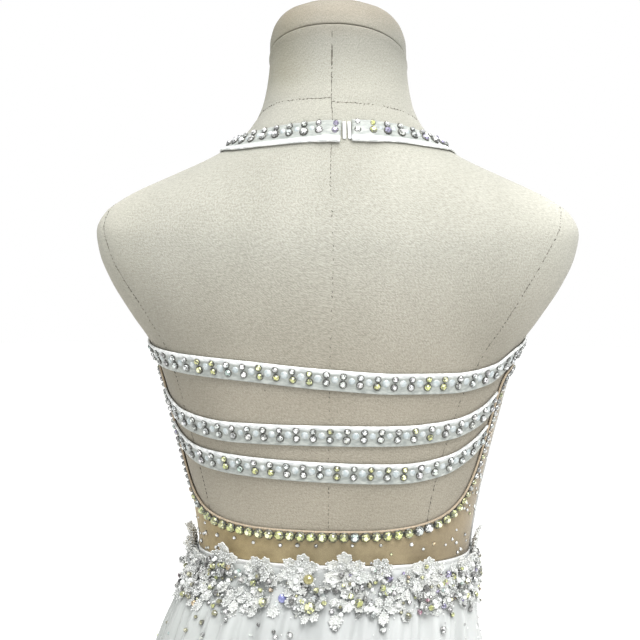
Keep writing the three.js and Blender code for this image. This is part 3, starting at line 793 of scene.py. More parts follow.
def linen_cover(looks):
    """Linen with thick threads, a few specks and soft blotches, and painted light: paler on the shoulders and
    at the sides, and painted shade on the middle back, at the top of the cap and on the wearer's left of the
    neck.
    """
    linen = tuple(looks.linen)
    made = Finish("linen", linen, 0.92, Sheen_Weight=0.1, Specular_IOR_Level=0.2)
    # Painted light by height: a paler, less yellow tone where light falls on the shoulders and neck, and
    # painted shade on the middle back and at the top of the cap.
    painted_lit_tone = (linen[0] * 1.04, linen[1] * 1.12, linen[2] * 1.2)
    painted_brighter_tone, painted_shade_tone = toned(painted_lit_tone, 1.12), toned(linen, 0.9)
    base = made.ramp(
        made.share(made.axis("Z"), 1000.0, 1500.0),
        (0.12, toned(linen, 1.1)), (0.3, linen), (0.54, painted_lit_tone), (0.62, painted_brighter_tone), (0.7, painted_brighter_tone),
        (0.79, toned(painted_lit_tone, 1.26)), (0.87, toned(painted_lit_tone, 0.88)), (0.915, painted_shade_tone),
    )
    blotches = made.ramp(made.noise(0.014, 3), (0.3, (0.93, 0.93, 0.92)), (0.7, (1.06, 1.06, 1.06)))
    # Painted light: both far sides of the form are painted paler.
    sides = made.ramp(
        made.across(), (0.03, (1.3, 1.3, 1.31)), (0.16, PLAIN), (0.84, PLAIN), (0.97, (1.2, 1.19, 1.17))
    )
    base = made.times(made.times(base, blotches), sides)
    # Painted shade: the wearer's left of the neck, from its middle up, is painted darker.
    neck = made.share(made.axis("Z"), 1385.0, 1410.0)
    painted_shade_side = made.ramp(made.across(), (0.53, PLAIN), (0.6, (0.86, 0.84, 0.77)))
    base = made.mixed(neck, base, made.times(base, painted_shade_side))
    twill = made.noise(1.15, 1, "UV", (1, 0.42, 1), turn=42)
    slubs = made.math("MULTIPLY", made.noise(1.0, 2, "UV", (0.16, 1, 1)), 0.5)
    fuzz = made.noise(1.5, 2, "UV", rough=0.6)
    threads = made.math("MULTIPLY", made.math("ADD", made.math("ADD", twill, slubs), fuzz), 0.4)
    fine = made.ramp(
        threads, (0.4, (0.8, 0.795, 0.785)), (0.5, (0.99, 0.99, 0.985)), (0.6, (1.16, 1.16, 1.17))
    )
    specks = made.node("ShaderNodeTexVoronoi", {"Vector": made.place(), "Scale": 0.022, "Randomness": 1.0})
    spots = made.ramp(specks.outputs["Distance"], (0.012, (0.35, 0.32, 0.28)), (0.026, PLAIN))
    made.colour(made.mixed(0.85, made.times(base, fine), spots, "MULTIPLY"))
    made.bump(threads, 0.7, 1.0).bump(made.noise(0.05, 3), 1.2, 0.5)


def seam_thread(looks):
    made = Finish("seam_thread", toned(looks.linen, 0.3), 0.9)
    made.colour(made.ramp(made.noise(0.2), (0.35, toned(looks.linen, 0.2)), (0.65, toned(looks.linen, 0.45))))


def spandex(looks):
    """The white stretch cloth of the band, the bodice and the straps; the bodice's copy is darkened as
    painted shade, and the straps' copy carries painted light across their width.
    """
    # The bodice's copy, toned to 0.68, is the same white painted darker as shade.
    for name, share in (("white_spandex", 1.0), ("bodice_spandex", 0.68), ("strap_elastic", 1.0)):
        white = toned(looks.spandex, share)
        made = Finish(name, white, 0.42, Sheen_Weight=0.25, Coat_Weight=0.12, Coat_Roughness=0.35)
        ribs = made.noise(0.9, 2, "UV", (1, 0.12, 1))
        tone = made.ramp(made.noise(0.05, 2), (0.35, toned(white, 0.94)), (0.65, white))
        # The straps' elastic gets painted light and shade across its width.
        if name == "strap_elastic":
            tone = strap_painted_light(made, tone)
        made.colour(tone)
        made.rough(ribs, 0.34, 0.5).bump(ribs, 0.12, 0.7).bump(made.noise(0.12, 1), 0.5, 0.5)


def strap_painted_light(made, tone):
    """Painted light across a strap's width: a painted shadow at the lower edge, a face painted duller as
    shade, a painted highlight on the white rolled upper edge, and a painted satin sheen over it all.
    """
    face, rolled = (0.42, 0.435, 0.41), (1.0, 1.0, 1.0)
    shade = made.ramp(
        made.share(made.axis("Y", "UV"), -10.0, 10.0), (0.06, (0.4, 0.41, 0.4)), (0.13, toned(face, 1.2)),
        (0.3, face), (0.7, face), (0.79, rolled), (0.93, rolled),
    )
    painted_satin_sheen = made.ramp(
        made.noise(0.32, 3, "UV", (0.6, 1.3, 1)), (0.36, (0.74, 0.76, 0.77)), (0.64, (1.18, 1.18, 1.18))
    )
    return made.times(made.times(tone, shade), painted_satin_sheen)


def nude_mesh(looks):
    nude = tuple(looks.nude)
    made = Finish("nude_mesh", nude, 0.72, Sheen_Weight=0.25, Specular_IOR_Level=0.3)
    net = made.noise(2.4, 1, "UV")
    patches = made.noise(0.022, 2, "Object", (1, 1, 1.4))
    shade = made.ramp(patches, (0.35, toned(nude, 0.88)), (0.65, toned(nude, 1.08)))
    knots = made.ramp(net, (0.4, (0.78, 0.76, 0.74)), (0.6, (1.08, 1.08, 1.08)))
    worn = made.ramp(made.noise(0.3, 3, rough=0.65), (0.36, (0.93, 0.91, 0.92)), (0.64, (1.05, 1.04, 1.05)))
    # Painted light: the mesh is painted darker and cooler on the wearer's right and paler and warmer on the
    # left.
    lit = made.ramp(
        made.across(), (0.2, (0.76, 0.77, 0.81)), (0.5, (0.83, 0.88, 0.9)), (0.8, (0.99, 0.96, 0.77))
    )
    made.colour(made.times(made.times(made.times(shade, knots), worn), lit))
    made.bump(net, 0.12, 0.8)


def binding_tape(looks):
    nude = tuple(looks.nude)
    made = Finish("binding_tape", toned(nude, 0.9), 0.6, Sheen_Weight=0.2)
    ribs = made.noise(0.8, 2, "UV", (1, 0.2, 1))
    tape = (nude[0] * 1.2, nude[1] * 1.22, nude[2] * 1.5)
    made.colour(made.ramp(ribs, (0.3, toned(tape, 0.75)), (0.7, toned(tape, 1.1)))).bump(ribs, 0.15, 0.8)


def chiffon_cloth(looks):
    chiffon = tuple(looks.chiffon)
    made = Finish("chiffon", chiffon, 0.62, Sheen_Weight=0.45, Sheen_Roughness=0.4, Specular_IOR_Level=0.35)
    patches = made.noise(0.02, 2, stretch=(1, 1, 0.3))
    tone = made.ramp(patches, (0.35, toned(chiffon, 0.93)), (0.65, chiffon))
    # Painted light: the skirt is painted paler towards the wearer's right and darker across the middle and
    # left.
    lit = made.ramp(
        made.across(), (0.12, (1.2, 1.18, 1.17)), (0.5, (0.92, 0.91, 0.91)), (0.85, (0.9, 0.9, 0.88))
    )
    made.colour(made.times(tone, lit))
    weave = made.noise(1.6, 2, "UV")
    made.bump(weave, 0.08, 0.6).bump(made.noise(0.09, 2, stretch=(1, 1, 0.12)), 0.8, 0.5)


def lace_thread(looks):
    lace = tuple(looks.lace)
    made = Finish("lace", lace, 0.6, Sheen_Weight=0.2, Specular_IOR_Level=0.35, **THIN)
    thread = made.noise(0.9, 3, rough=0.75)
    patches = made.ramp(made.noise(0.07, 2), (0.35, (0.8, 0.82, 0.82)), (0.65, (1.03, 1.03, 1.01)))
    grain = made.ramp(
        thread, (0.36, toned(lace, 0.62)), (0.5, toned(lace, 0.9)), (0.62, toned(lace, 1.12))
    )
    made.colour(made.times(grain, patches))
    made.bump(thread, 0.45, 1.0)


def trimmings(looks):
    """Cut stones, beads and sequins, each coloured by its own colour attribute, which on the stones also
    carries painted facet light, and the stones' settings.
    """
    for name, rough, metal, coat in (
        ("crystal", 0.12, 0.4, 1.0), ("bead", 0.42, 0.0, 0.35), ("sequin", 0.2, 0.35, 0.6)
    ):
        gloss = {"Metallic": metal, "Coat_Weight": coat, "Coat_Roughness": 0.04}
        made = Finish(name, (0.8, 0.8, 0.8), rough, **gloss, **(THIN if name == "bead" else {}))
        colour_and_facet_light = made.node("ShaderNodeAttribute", attribute_name="colour_and_facet_light").outputs["Color"]
        made.colour(made.mixed(made.math("MULTIPLY", made.noise(0.8), 0.25), colour_and_facet_light, (0.95, 0.95, 0.95, 1)))

    # The settings: dark metal cups, whose dark rim round each stone is also a painted shade.
    made = Finish("stone_setting", (0.1, 0.1, 0.09), 0.4, Metallic=0.7)
    made.colour(made.ramp(made.noise(0.6), (0.35, (0.05, 0.05, 0.045)), (0.7, (0.2, 0.2, 0.18))))


def opal_pearl(looks):
    made = Finish("opal_pearl", (0.7, 0.75, 0.8), 0.22, Coat_Weight=0.7, Coat_Roughness=0.1, Sheen_Weight=0.1)
    milk = made.noise(0.35, 2)
    made.colour(made.ramp(milk, (0.3, (0.4, 0.47, 0.48)), (0.5, (0.5, 0.55, 0.56)), (0.7, (0.68, 0.7, 0.69))))
    made.bump(milk, 0.15, 0.4)


def milky_plastic(looks):
    made = Finish("milky_plastic", (0.84, 0.86, 0.88), 0.25, Coat_Weight=0.4, Coat_Roughness=0.1)
    made.colour(made.ramp(made.noise(0.25), (0.3, (0.78, 0.8, 0.83)), (0.7, (0.9, 0.91, 0.93))))


def painted_iron(looks):
    iron = tuple(looks.iron)
    made = Finish("painted_iron", iron, 0.42, Metallic=0.3, Coat_Weight=0.25, Coat_Roughness=0.3)
    peel, wear = made.noise(0.25, 2), made.noise(0.03, 4)
    made.colour(made.ramp(wear, (0.3, toned(iron, 0.85)), (0.65, toned(iron, 1.25))))
    made.rough(wear, 0.32, 0.55).bump(peel, 0.1, 0.6)


def brushed_steel(looks):
    steel = (0.56, 0.56, 0.55)
    made = Finish("brushed_steel", steel, 0.3, Metallic=1.0)
    lines = made.noise(1.2, 2, stretch=(1, 1, 0.02))
    made.colour(made.ramp(lines, (0.3, toned(steel, 0.8)), (0.7, toned(steel, 1.15))))
    made.rough(lines, 0.24, 0.42).bump(lines, 0.05, 0.5)


def studio_floor(looks):
    """A floor that glows more with the distance, until it meets the white behind it."""
    made = Finish("studio_floor", (0.86, 0.86, 0.85), 0.85, Emission_Color=(1, 1, 1, 1))
    made.colour(made.ramp(made.noise(0.004, 2), (0.3, (0.85, 0.85, 0.84)), (0.7, (0.88, 0.88, 0.87))))
    away = made.node("ShaderNodeVectorMath", {0: made.place()}, operation="LENGTH").outputs["Value"]
    glow = made.node(
        "ShaderNodeMapRange", {"Value": away, "From Min": 500.0, "From Max": 3200.0, "To Max": 0.5},
        interpolation_type="SMOOTHSTEP",
    )
    made.put(glow.outputs["Result"], made.shader.inputs["Emission Strength"])


MAKERS = (
    linen_cover, seam_thread, spandex, nude_mesh, binding_tape, chiffon_cloth, lace_thread, trimmings,
    opal_pearl, milky_plastic, painted_iron, brushed_steel, studio_floor,
)


# ---- settings


def colour_setting(name, description, default):
    return FloatVectorProperty(
        name=name, description=description, subtype="COLOR", size=3, min=0, max=1, default=default
    )


def length_setting(name, description, default_mm):
    return FloatProperty(
        name=name, description=description, unit="LENGTH", subtype="DISTANCE", min=0.0005,
        default=default_mm * MM,
    )


class DressLooks(bpy.types.PropertyGroup):
    """The colours and sizes that a user of the dress would change"""

    linen: colour_setting("Linen", "Colour of the form's linen cover", (0.338, 0.309, 0.252))
    spandex: colour_setting("Spandex", "Colour of the straps, bodice and waist band", (0.87, 0.88, 0.87))
    nude: colour_setting("Nude mesh", "Colour of the sheer back panel", (0.42, 0.335, 0.195))
    chiffon: colour_setting("Chiffon", "Colour of the skirt", (0.55, 0.575, 0.57))
    lace: colour_setting("Lace", "Colour of the lace and its flowers", (0.86, 0.87, 0.84))
    iron: colour_setting("Painted iron", "Colour of the stand's painted parts", (0.05, 0.047, 0.045))
    strap_width: length_setting("Strap width", "Width of the elastic straps across the back", 16.5)
    neck_width: length_setting("Neck strap width", "Width of the neck strap", 18.2)
    upper_stone: length_setting("Upper stone", "Diameter of the straps' upper stones", 4.7)
    lower_stone: length_setting("Lower stone", "Diameter of the straps' lower stones", 5.4)
    edge_stone: length_setting("Edge stone", "Diameter of the stones below the open back", 7.6)
    pearl: length_setting("Pearl", "Diameter of the pearls between the stones", 6.6)
    stone_pitch: length_setting("Stone pitch", "Distance between the straps' columns of stones", 13.2)
    beads: IntProperty(
        name="Beads", description="How many loose beads the lace holds", default=1300, min=0, max=4000
    )


# ---- the stage


class DRESS_OT_stage(bpy.types.Operator):
    """Sets up the floor, the soft light and the camera"""

    bl_idname = "dress.stage"
    bl_label = "Stage"

    def execute(self, context):
        scene = context.scene
        camera = bpy.data.cameras.new("camera")
        camera.sensor_width, camera.lens = 36, 90.34
        scene.camera = added("camera", camera)
        scene.camera.matrix_world = camera_place()
        deselect()
        bpy.ops.mesh.primitive_circle_add(vertices=128, radius=14, fill_type="NGON")
        floor = context.object
        floor.name = "studio_floor"
        floor.data.materials.append(finish("studio_floor"))
        self.room(scene)
        for name, place, aim, size, power in (
            ("key_softbox", (-0.9, 1.9, 3.1), (0, 0, 1.25), (1.4, 1.0), 52),
            ("top_softbox", (-0.1, 0.6, 2.9), (0, 0.05, 1.3), (1.6, 1.2), 30),
            ("front_fill", (-0.5, -2.2, 2.4), (0, 0, 1.0), (1.8, 1.4), 36),
        ):
            lamp = bpy.data.lights.new(name, "AREA")
            lamp.shape, lamp.energy = "RECTANGLE", power
            lamp.size, lamp.size_y = size
            turn = (Vector(aim) - Vector(place)).to_track_quat("-Z", "Y").to_matrix().to_4x4()
            added(name, lamp).matrix_world = Matrix.Translation(place) @ turn
        scene.view_settings.view_transform = "Standard"
        return {"FINISHED"}

    def room(self, scene):
        """A soft room: bright above, dim below, and plain white behind the dress."""
        scene.world = bpy.data.worlds.new("soft_room")
        scene.world.use_nodes = True
        made = Nodes(scene.world.node_tree)
        way = made.node("ShaderNodeTexCoord").outputs["Generated"]
        rise = made.share(made.node("ShaderNodeSeparateXYZ", {0: way}).outputs["Z"], -1, 1)
        sky = made.ramp(rise, (0.3, (0.16, 0.16, 0.16)), (0.52, (0.31, 0.32, 0.33)), (0.98, (1.0, 1.0, 0.98)))
        light = made.tree.nodes["Background"]
        light.inputs["Strength"].default_value = 1.0
        made.put(sky, light.inputs["Color"])
        white = made.node("ShaderNodeBackground", {"Color": (1, 1, 1, 1), "Strength": 1.0})
        seen = made.node("ShaderNodeLightPath").outputs["Is Camera Ray"]
        choice = made.node("ShaderNodeMixShader", {0: seen, 1: light.outputs[0], 2: white.outputs[0]})
        made.put(choice.outputs[0], made.tree.nodes["World Output"].inputs["Surface"])


def camera_place():
    """The camera stands behind the dress, a little to the wearer's right, looking down a little."""
    azimuth, pitch, yaw, roll = (math.radians(value) for value in (185, 4, 0.553, 0.4))
    away, eye = 1.3467, 1.3
    back = Vector((math.sin(azimuth), -math.cos(azimuth), 0))
    ahead = -back
    right = ahead.cross(Vector((0, 0, 1)))
    ahead = ahead * math.cos(yaw) - right * math.sin(yaw)
    ahead = ahead * math.cos(pitch) - Vector((0, 0, math.sin(pitch)))
    right = ahead.cross(Vector((0, 0, 1))).normalized()
    up = right.cross(ahead)
    right, up = right * math.cos(roll) + up * math.sin(roll), up * math.cos(roll) - right * math.sin(roll)
    turn = Matrix((right, up, -ahead)).transposed().to_4x4()
    return Matrix.Translation(back * away + Vector((0, 0, eye))) @ turn


# ---- the form


def cap_seam(angle):
    """The height of the slanting seam of the neck cap at an angle."""
    height = np.full_like(np.asarray(angle, float), 1420)
    for _ in range(30):
        depth = form(angle, height)[..., 1]
        height = 0.5 * height + 0.5 * (CAP_SEAM_HEIGHT + CAP_SEAM_SLOPE * (depth - CAP_SEAM_DEPTH))
    return height


def closed_rings(name, rings, low_centre, high_centre, finish_name, uv):
    """A closed body through rings of points, from its lowest middle to its highest."""
    rows, columns = rings.shape[:2]
    points = np.concatenate([rings.reshape(-1, 3), [low_centre], [high_centre]])
    c = np.arange(columns)
    n, low, high = (c + 1) % columns, rows * columns, rows * columns + 1
    top = (rows - 1) * columns
    fans = np.concatenate([np.stack([c, n, 0 * c + low], -1), np.stack([top + n, top + c, 0 * c + high], -1)])
    flat_uv = np.concatenate([uv.reshape(-1, 2), [(0, 0), (0, 0)]])
    return new_piece(name, points, [grid_faces(rows, columns, True), fans], finish(finish_name), flat_uv)


SEAM_POINTS = {}


def seam_depth(angle, height):
    """How deep the form's seams pull the linen in at a place, in millimetres."""
    point = form(angle, height)
    depth = np.zeros(point.shape[:-1])
    for line in SEAM_POINTS.values():
        low, high = line[:, :3].min(0) - 8, line[:, :3].max(0) + 8
        near = ((point > low) & (point < high)).all(-1)
        if near.any():
            gap = np.sqrt(((point[near][:, None] - line[None, ::2]) ** 2).sum(-1)).min(1)
            depth[near] = np.maximum(depth[near], np.exp(-((gap / 2.4) ** 2)))
    return 0.55 * depth


def seam_line(name, pitch=1.5):
    """Even stations along one of the form's seams: angles and heights."""
    rows = np.array(FORM_SEAMS[name], float)
    line = path(rows[:, 0], rows[:, 1])
    rough = form(*line(np.linspace(0, 1, 400)))
    return line(evenly(rough, pitch))


def stacked(angles, rows):
    """The angles, heights and distances out of a grid, from rows of a height and a distance."""
    heights = np.array([np.broadcast_to(height, angles.shape) for height, _ in rows])
    outs = np.array([out for _, out in rows], float)[:, None]
    return np.broadcast_to(angles, heights.shape), heights, outs


FORM_COLUMNS = 252
FORM_FOOT = [(0, -9), (0.3, -5), (1.6, -2.2), (4, -0.5)]  # above the torso's underside, and out
TORSO_RIM = [(0.9, 0.6), (0.45, 0.0), (0.25, -1.6), (0.2, -5)]  # below the cap's seam, and out
CAP_RIM = [(0.2, -5), (0.25, -1.6), (0.45, -0.7), (0.9, -0.2), (1.8, 0)]  # above it, and out
CAP_TIP = [(0.4, 0.2275), (0.75, 0.105)]  # share of the way in to the tip, and below it
BRICK = np.array([(x, y, z) for z in (0, 1) for x, y in ((-1, -1), (1, -1), (1, 1), (-1, 1))], float)
BRICK_SIDES = np.array([(3, 2, 1, 0), (4, 5, 6, 7), (0, 1, 5, 4), (1, 2, 6, 5), (2, 3, 7, 6), (3, 0, 4, 7)])


class DRESS_OT_form(bpy.types.Operator):
    """Makes the form's linen cover, its neck cap and its seams"""

    bl_idname = "dress.form"
    bl_label = "Dress form"

    def execute(self, context):
        for name in FORM_SEAMS:
            SEAM_POINTS[name] = form(*seam_line(name))
        angles = (np.arange(FORM_COLUMNS) + 0.5) * 360 / FORM_COLUMNS
        seam = cap_seam(angles)
        self.torso(angles, seam)
        self.cap(angles, seam)
        self.stitches()
        return {"FINISHED"}

    def torso(self, angles, seam):
        """The torso's cover, level below and slanting with the cap's seam from the neck up."""
        rows = [(FORM_LOW + up, out) for up, out in FORM_FOOT]
        rows += [(height, 0) for height in np.arange(FORM_LOW + 8, 1376, 4.5)]
        last = rows[-1][0]
        shares = np.linspace(0, 1, 22)[1:]
        outs = [0] * (len(shares) - 2) + [0.3, 0.75]
        rows += [(last + (seam - 1.6 - last) * share, out) for share, out in zip(shares, outs)]
        rows += [(seam - down, out) for down, out in TORSO_RIM]
        around, heights, outs = stacked(angles, rows)
        rings = moved_out(form, around, heights, outs - seam_depth(around, heights))
        rings[0][:, 2] = FORM_LOW
        uv, low = self.lengths(around, heights), (0, 6, FORM_LOW)
        keep(closed_rings("torso_cover", rings, low, rings[-1].mean(0), "linen", uv), ["form_torso"])

    def cap(self, angles, seam):
        rows = [(seam + up, out) for up, out in CAP_RIM]
        start = rows[-1][0]
        shares = np.linspace(0, 1, 26)[1:]
        rows += [(start + (1467.6 - start) * (1 - (1 - share) ** 1.6), 0) for share in shares]
        around, heights, outs = stacked(angles, rows)
        rings = moved_out(form, around, heights, outs)
        tip, last = np.array(FORM_TIP, float), rings[-1]
        for inward, down in CAP_TIP:
            ring = last + (tip - last) * inward
            ring[:, 2] = tip[2] - down
            rings = np.concatenate([rings, [ring]])
        uv = self.lengths(around, heights)
        uv = np.concatenate([uv, uv[-1:], uv[-1:]])
        cap = closed_rings("neck_cap_cover", rings, rings[0].mean(0), tip, "linen", uv)
        keep(cap, ["form_neck_cap"])

    def lengths(self, angles, heights):
        """Cloth coordinates: millimetres round and up."""
        return np.stack([np.radians(angles - 180) * 130, heights], -1)

    def stitches(self):
        """The dark line of each seam and the short stitches across it."""
        rng = random.Random(5)
        parts = []
        for name in FORM_SEAMS:
            angle, height = seam_line(name, 1.8)
            point, out, _, _ = lie(form, angle, height)
            point = point - out * 0.56
            ways = unit(np.gradient(point, axis=0))
            for k in range(len(point) - 1):
                thin = 0.13 if name in ("left_side", "right_side") else 0.16
                if name == "centre_back" and height[k] > 1406:
                    thin = rng.uniform(0.25, 0.75)
                along = point[k + 1] - point[k]
                across = np.cross(out[k], ways[k])
                middle = (point[k + 1] + point[k]) / 2
                axes = np.stack([along * 0.52, across * thin, out[k] * 0.14])
                parts.append((BRICK @ axes + middle, BRICK_SIDES, None))
            for k in range(1, len(point) - 1, 2):
                if rng.random() < 0.22:
                    continue
                slant = math.radians(rng.uniform(-25, 40))
                across = np.cross(out[k], ways[k])
                run = ways[k] * math.cos(slant) + across * math.sin(slant)
                length, width, depth = rng.uniform(0.5, 1.0), rng.uniform(0.2, 0.34), rng.uniform(0.3, 0.5)
                axes = np.stack([run * length, np.cross(out[k], run) * width, out[k] * depth])
                middle = point[k] + across * rng.uniform(-0.3, 0.3)
                parts.append((BRICK @ axes + middle, BRICK_SIDES, None))
        keep(joined("form_seam_stitches", parts, finish("seam_thread")))


# ---- the stand


def lathed(name, node, profile, look="painted_iron", sides=96):
    """A turned part: a profile of radii and heights in millimetres, spun about the middle."""
    deselect()
    mesh = bpy.data.meshes.new(name)
    points = [(radius * MM, 0, height * MM) for radius, height in profile]
    mesh.from_pydata(points, [(i, i + 1) for i in range(len(points) - 1)], [])
    piece = added(name, mesh)
    bpy.context.view_layer.objects.active = piece
    piece.select_set(True)
    on_whole_mesh(
        lambda: bpy.ops.mesh.spin(steps=sides, angle=2 * math.pi, center=(0, 0, 0), axis=(0, 0, 1)),
        lambda: bpy.ops.mesh.remove_doubles(threshold=1e-5),
        lambda: bpy.ops.mesh.normals_make_consistent(inside=False),
    )
    settle(mesh)
    bpy.ops.object.shade_smooth_by_angle(angle=math.radians(35))
    piece.data.materials.append(finish(look))
    return keep(piece, [node])


def softened(profile, radius):
    """A profile with its corners rounded by short arcs."""
    points = [np.array(point, float) for point in profile]
    made = [points[0]]
    for before, corner, after in zip(points, points[1:], points[2:]):
        back, on = before - corner, after - corner
        back_length, on_length = np.linalg.norm(back), np.linalg.norm(on)
        reach = min(radius, back_length / 2.1, on_length / 2.1)
        start, end = corner + back / back_length * reach, corner + on / on_length * reach
        for share in np.linspace(0, 1, 5):
            made.append((1 - share) ** 2 * start + 2 * share * (1 - share) * corner + share**2 * end)
    return [*made, points[-1]]


BORE, COLLAR_RADIUS, POLE_RADIUS, FLANGE_RADIUS, SCREW_CIRCLE = 14.3, 26, 14, 62, 48


class DRESS_OT_stand(bpy.types.Operator):
    """Makes the round foot, the pole, its collars and the flange under the form"""

    bl_idname = "dress.stand"
    bl_label = "Stand"

    def execute(self, context):
        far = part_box("stand_base")[1]
        radius, top = far.x / MM, far.z / MM
        foot = [(0, 0), (radius - 3, 0), (radius, 3), (radius, 8), (radius - 7, 14), (30, top), (0, top)]
        lathed("base_plate", "stand_base", softened(foot, 3), sides=128)
        for node, chamfer in (("base_collar", [(-3, 0)]), ("flange_collar", [])):
            low, high = self.ends(node)
            rim = [(COLLAR_RADIUS, high - 8 if chamfer else high)]
            rim += [(COLLAR_RADIUS + inward, high + up) for inward, up in chamfer]
            ring = [(BORE, low), (COLLAR_RADIUS, low), *rim, (BORE, high), (BORE, low)]
            lathed(node + "_cast", node, [ring[0], *softened(ring, 1.5)[1:-1], ring[-1]])
        low, high = self.ends("stand_pole")
        tube = softened([(0, low), (POLE_RADIUS, low), (POLE_RADIUS, high), (0, high)], 1)
        lathed("pole_tube", "stand_pole", tube, "brushed_steel")
        low, high = self.ends("stand_flange")
        plate = softened([(0, low), (FLANGE_RADIUS, low), (FLANGE_RADIUS, high), (0, high)], 2)
        lathed("flange_plate", "stand_flange", plate)
        self.screws(low)
        return {"FINISHED"}

    def ends(self, node):
        """The lowest and highest height of a node."""
        return [corner.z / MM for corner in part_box(node)]

    def screws(self, low):
        """Four round-headed screws under the flange."""
        deselect()
        heads = []
        for k in range(4):
            turn = math.radians(45 + 90 * k)
            across, along = SCREW_CIRCLE * math.cos(turn), SCREW_CIRCLE * math.sin(turn)
            place = Vector((across, along, low - 0.4)) * MM
            bpy.ops.mesh.primitive_uv_sphere_add(segments=20, ring_count=10, radius=4.2 * MM, location=place)
            bpy.ops.object.transform_apply(location=True)
            on_whole_mesh(lambda: bpy.ops.transform.resize(value=(1, 1, 0.55), center_override=place))
            heads.append(bpy.context.object)
        for head in heads:
            head.select_set(True)
        bpy.ops.object.join()
        head = bpy.context.object
        head.name = "flange_screws"
        settle(head.data)
        bpy.ops.object.shade_smooth()
        head.data.materials.append(finish("brushed_steel"))
        keep(head)


# ---- the bodice


# Soft stretch folds on the bodice: degrees from the centre front, height, slope in millimetres
# a degree, half width and rise in millimetres.
BODICE_FOLDS = [
    (52, 1036, 0.22, 4, 0.7), (64, 1052, 0.3, 5, 0.8), (38, 1026, 0.12, 3.4, 0.5),
    (-48, 1034, -0.2, 4, 0.7), (-66, 1056, -0.32, 5.5, 0.8), (-30, 1025, -0.1, 3.2, 0.45),
    (70, 1150, 0.9, 6, 0.6), (-72, 1146, -0.8, 6, 0.6), (8, 1100, 0.05, 7, 0.35),
]
# Small folds in the nude mesh: degrees, height, half width and rise in millimetres.
MESH_FOLDS = [(-38, 1031, 3.2, 0.5), (-52, 1040, 4, 0.4), (60, 1040, 4, 0.45), (28, 1028, 2.6, 0.35)]
BINDING_PROFILE = [  # across, as a share of the half width, and out in millimetres
    (-1, 0.1), (-0.92, 0.75), (-0.6, 1.3), (0, 1.6), (0.6, 1.35), (0.95, 0.8), (1, 0.1), (0.5, 0), (-0.5, 0),
]


class DRESS_OT_bodice(bpy.types.Operator):
    """Makes the bodice's front, its nude mesh back and the binding on the open edge"""

    bl_idname = "dress.bodice"
    bl_label = "Bodice"

    def execute(self, context):
        self.front()
        self.back()
        self.binding()
        return {"FINISHED"}

    def front(self):
        """The plain front, its top edge from the columns' heights, with a few soft stretch folds."""
        columns, rows = 129, 52
        middle = BODICE_COLUMNS / 2
        along = np.linspace(0, BODICE_COLUMNS, columns)
        rise = np.linspace(0, 1, rows)[:, None]
        top = curve(BODICE_TOP["column"], BODICE_TOP["height"])(np.abs(along - middle))
        low = WAIST + SEAM_GAP
        height = low + (top - low) * rise
        angle = 180 + DRESS_TURN + (along - middle) / middle * (180 - SIDE_SEAM)
        angle = np.broadcast_to(angle, height.shape)
        down = top - height
        roll = 0.35 * np.exp(-(((down - 3) / 2.2) ** 2)) - 0.25 * smooth(6 - down, 0, 6)
        soft = 0.35 * np.sin(np.radians(angle * 9) + height / 37) * smooth(1120 - height, 0, 90)
        for at, high, slope, width, deep in BODICE_FOLDS:
            round_it = angle - 180 - at
            reach = np.exp(-((round_it / 24) ** 2)) * smooth(height - low, 0, 6) * smooth(down, 4, 16)
            away = height - high - round_it * slope
            soft = soft + deep * reach * np.exp(-((away / width) ** 2))
        rim = np.minimum(smooth(rise, 0, 0.02), smooth(1 - rise, 0, 0.02))
        outer = moved_out(form, angle, height, BODICE_EASE + SPANDEX * (0.75 + 0.25 * rim) + roll + soft)
        inner = moved_out(form, angle, height, BODICE_EASE + SPANDEX * 0.2 * (1 - rim) + 0.3 * soft)
        uv = np.stack([np.radians(angle) * 125, height], -1)
        # Its finish is the white spandex painted darker as shade.
        piece = cloth("bodice_front_panel", outer, inner, finish("bodice_spandex"), uv)
        keep(piece, ["bodice_front"])

    def back(self):
        """The nude mesh from the waist seam up to the open edge, with a few small folds."""
        columns, rows = 193, 30
        t = np.linspace(0, 1, columns)
        angle, height = back_edge(t)
        waist = waist_below(t)
        rise = np.linspace(0, 1, rows)[:, None]
        angles = waist + (angle - waist) * rise
        heights = WAIST + SEAM_GAP + (height - WAIST - SEAM_GAP) * rise
        fold = 0.0
        for at, high, width, depth in MESH_FOLDS:
            reach = np.exp(-(((angles - at) / 16) ** 2))
            fold = fold + depth * reach * np.exp(-(((heights - high - (angles - at) * 0.12) / width) ** 2))
        outer = moved_out(form, angles, heights, CLEARANCE + NUDE_MESH + fold)
        inner = moved_out(form, angles, heights, CLEARANCE + 0.4 * fold)
        uv = np.stack([np.radians(angles) * 115, heights], -1)
        piece = cloth("nude_mesh_panel", outer, inner, finish("nude_mesh"), uv)
        keep(piece, ["bodice_back_mesh"])

    def binding(self):
        """The tape folded over the open edge, measured along its profile's fourth row, its face."""
        t = np.linspace(0, 1, 260)
        half = BINDING_WIDTH * 0.27
        rings = []
        for across, out in BINDING_PROFILE:
            place = beside(back_edge, t, 0.15 + half * across)
            rings.append(moved_out(form, *place, CLEARANCE + 0.1 + out))
        rings = np.stack(rings, 1)
        lengths = lengths_along(rings[:, 3])
        uv = np.stack(np.broadcast_arrays(lengths[:, None], np.arange(len(BINDING_PROFILE)) * 1.0), -1)
        piece = swept("open_edge_binding", rings, finish("binding_tape"), uv)
        keep(piece, ["back_edge_binding"])


# ---- the straps

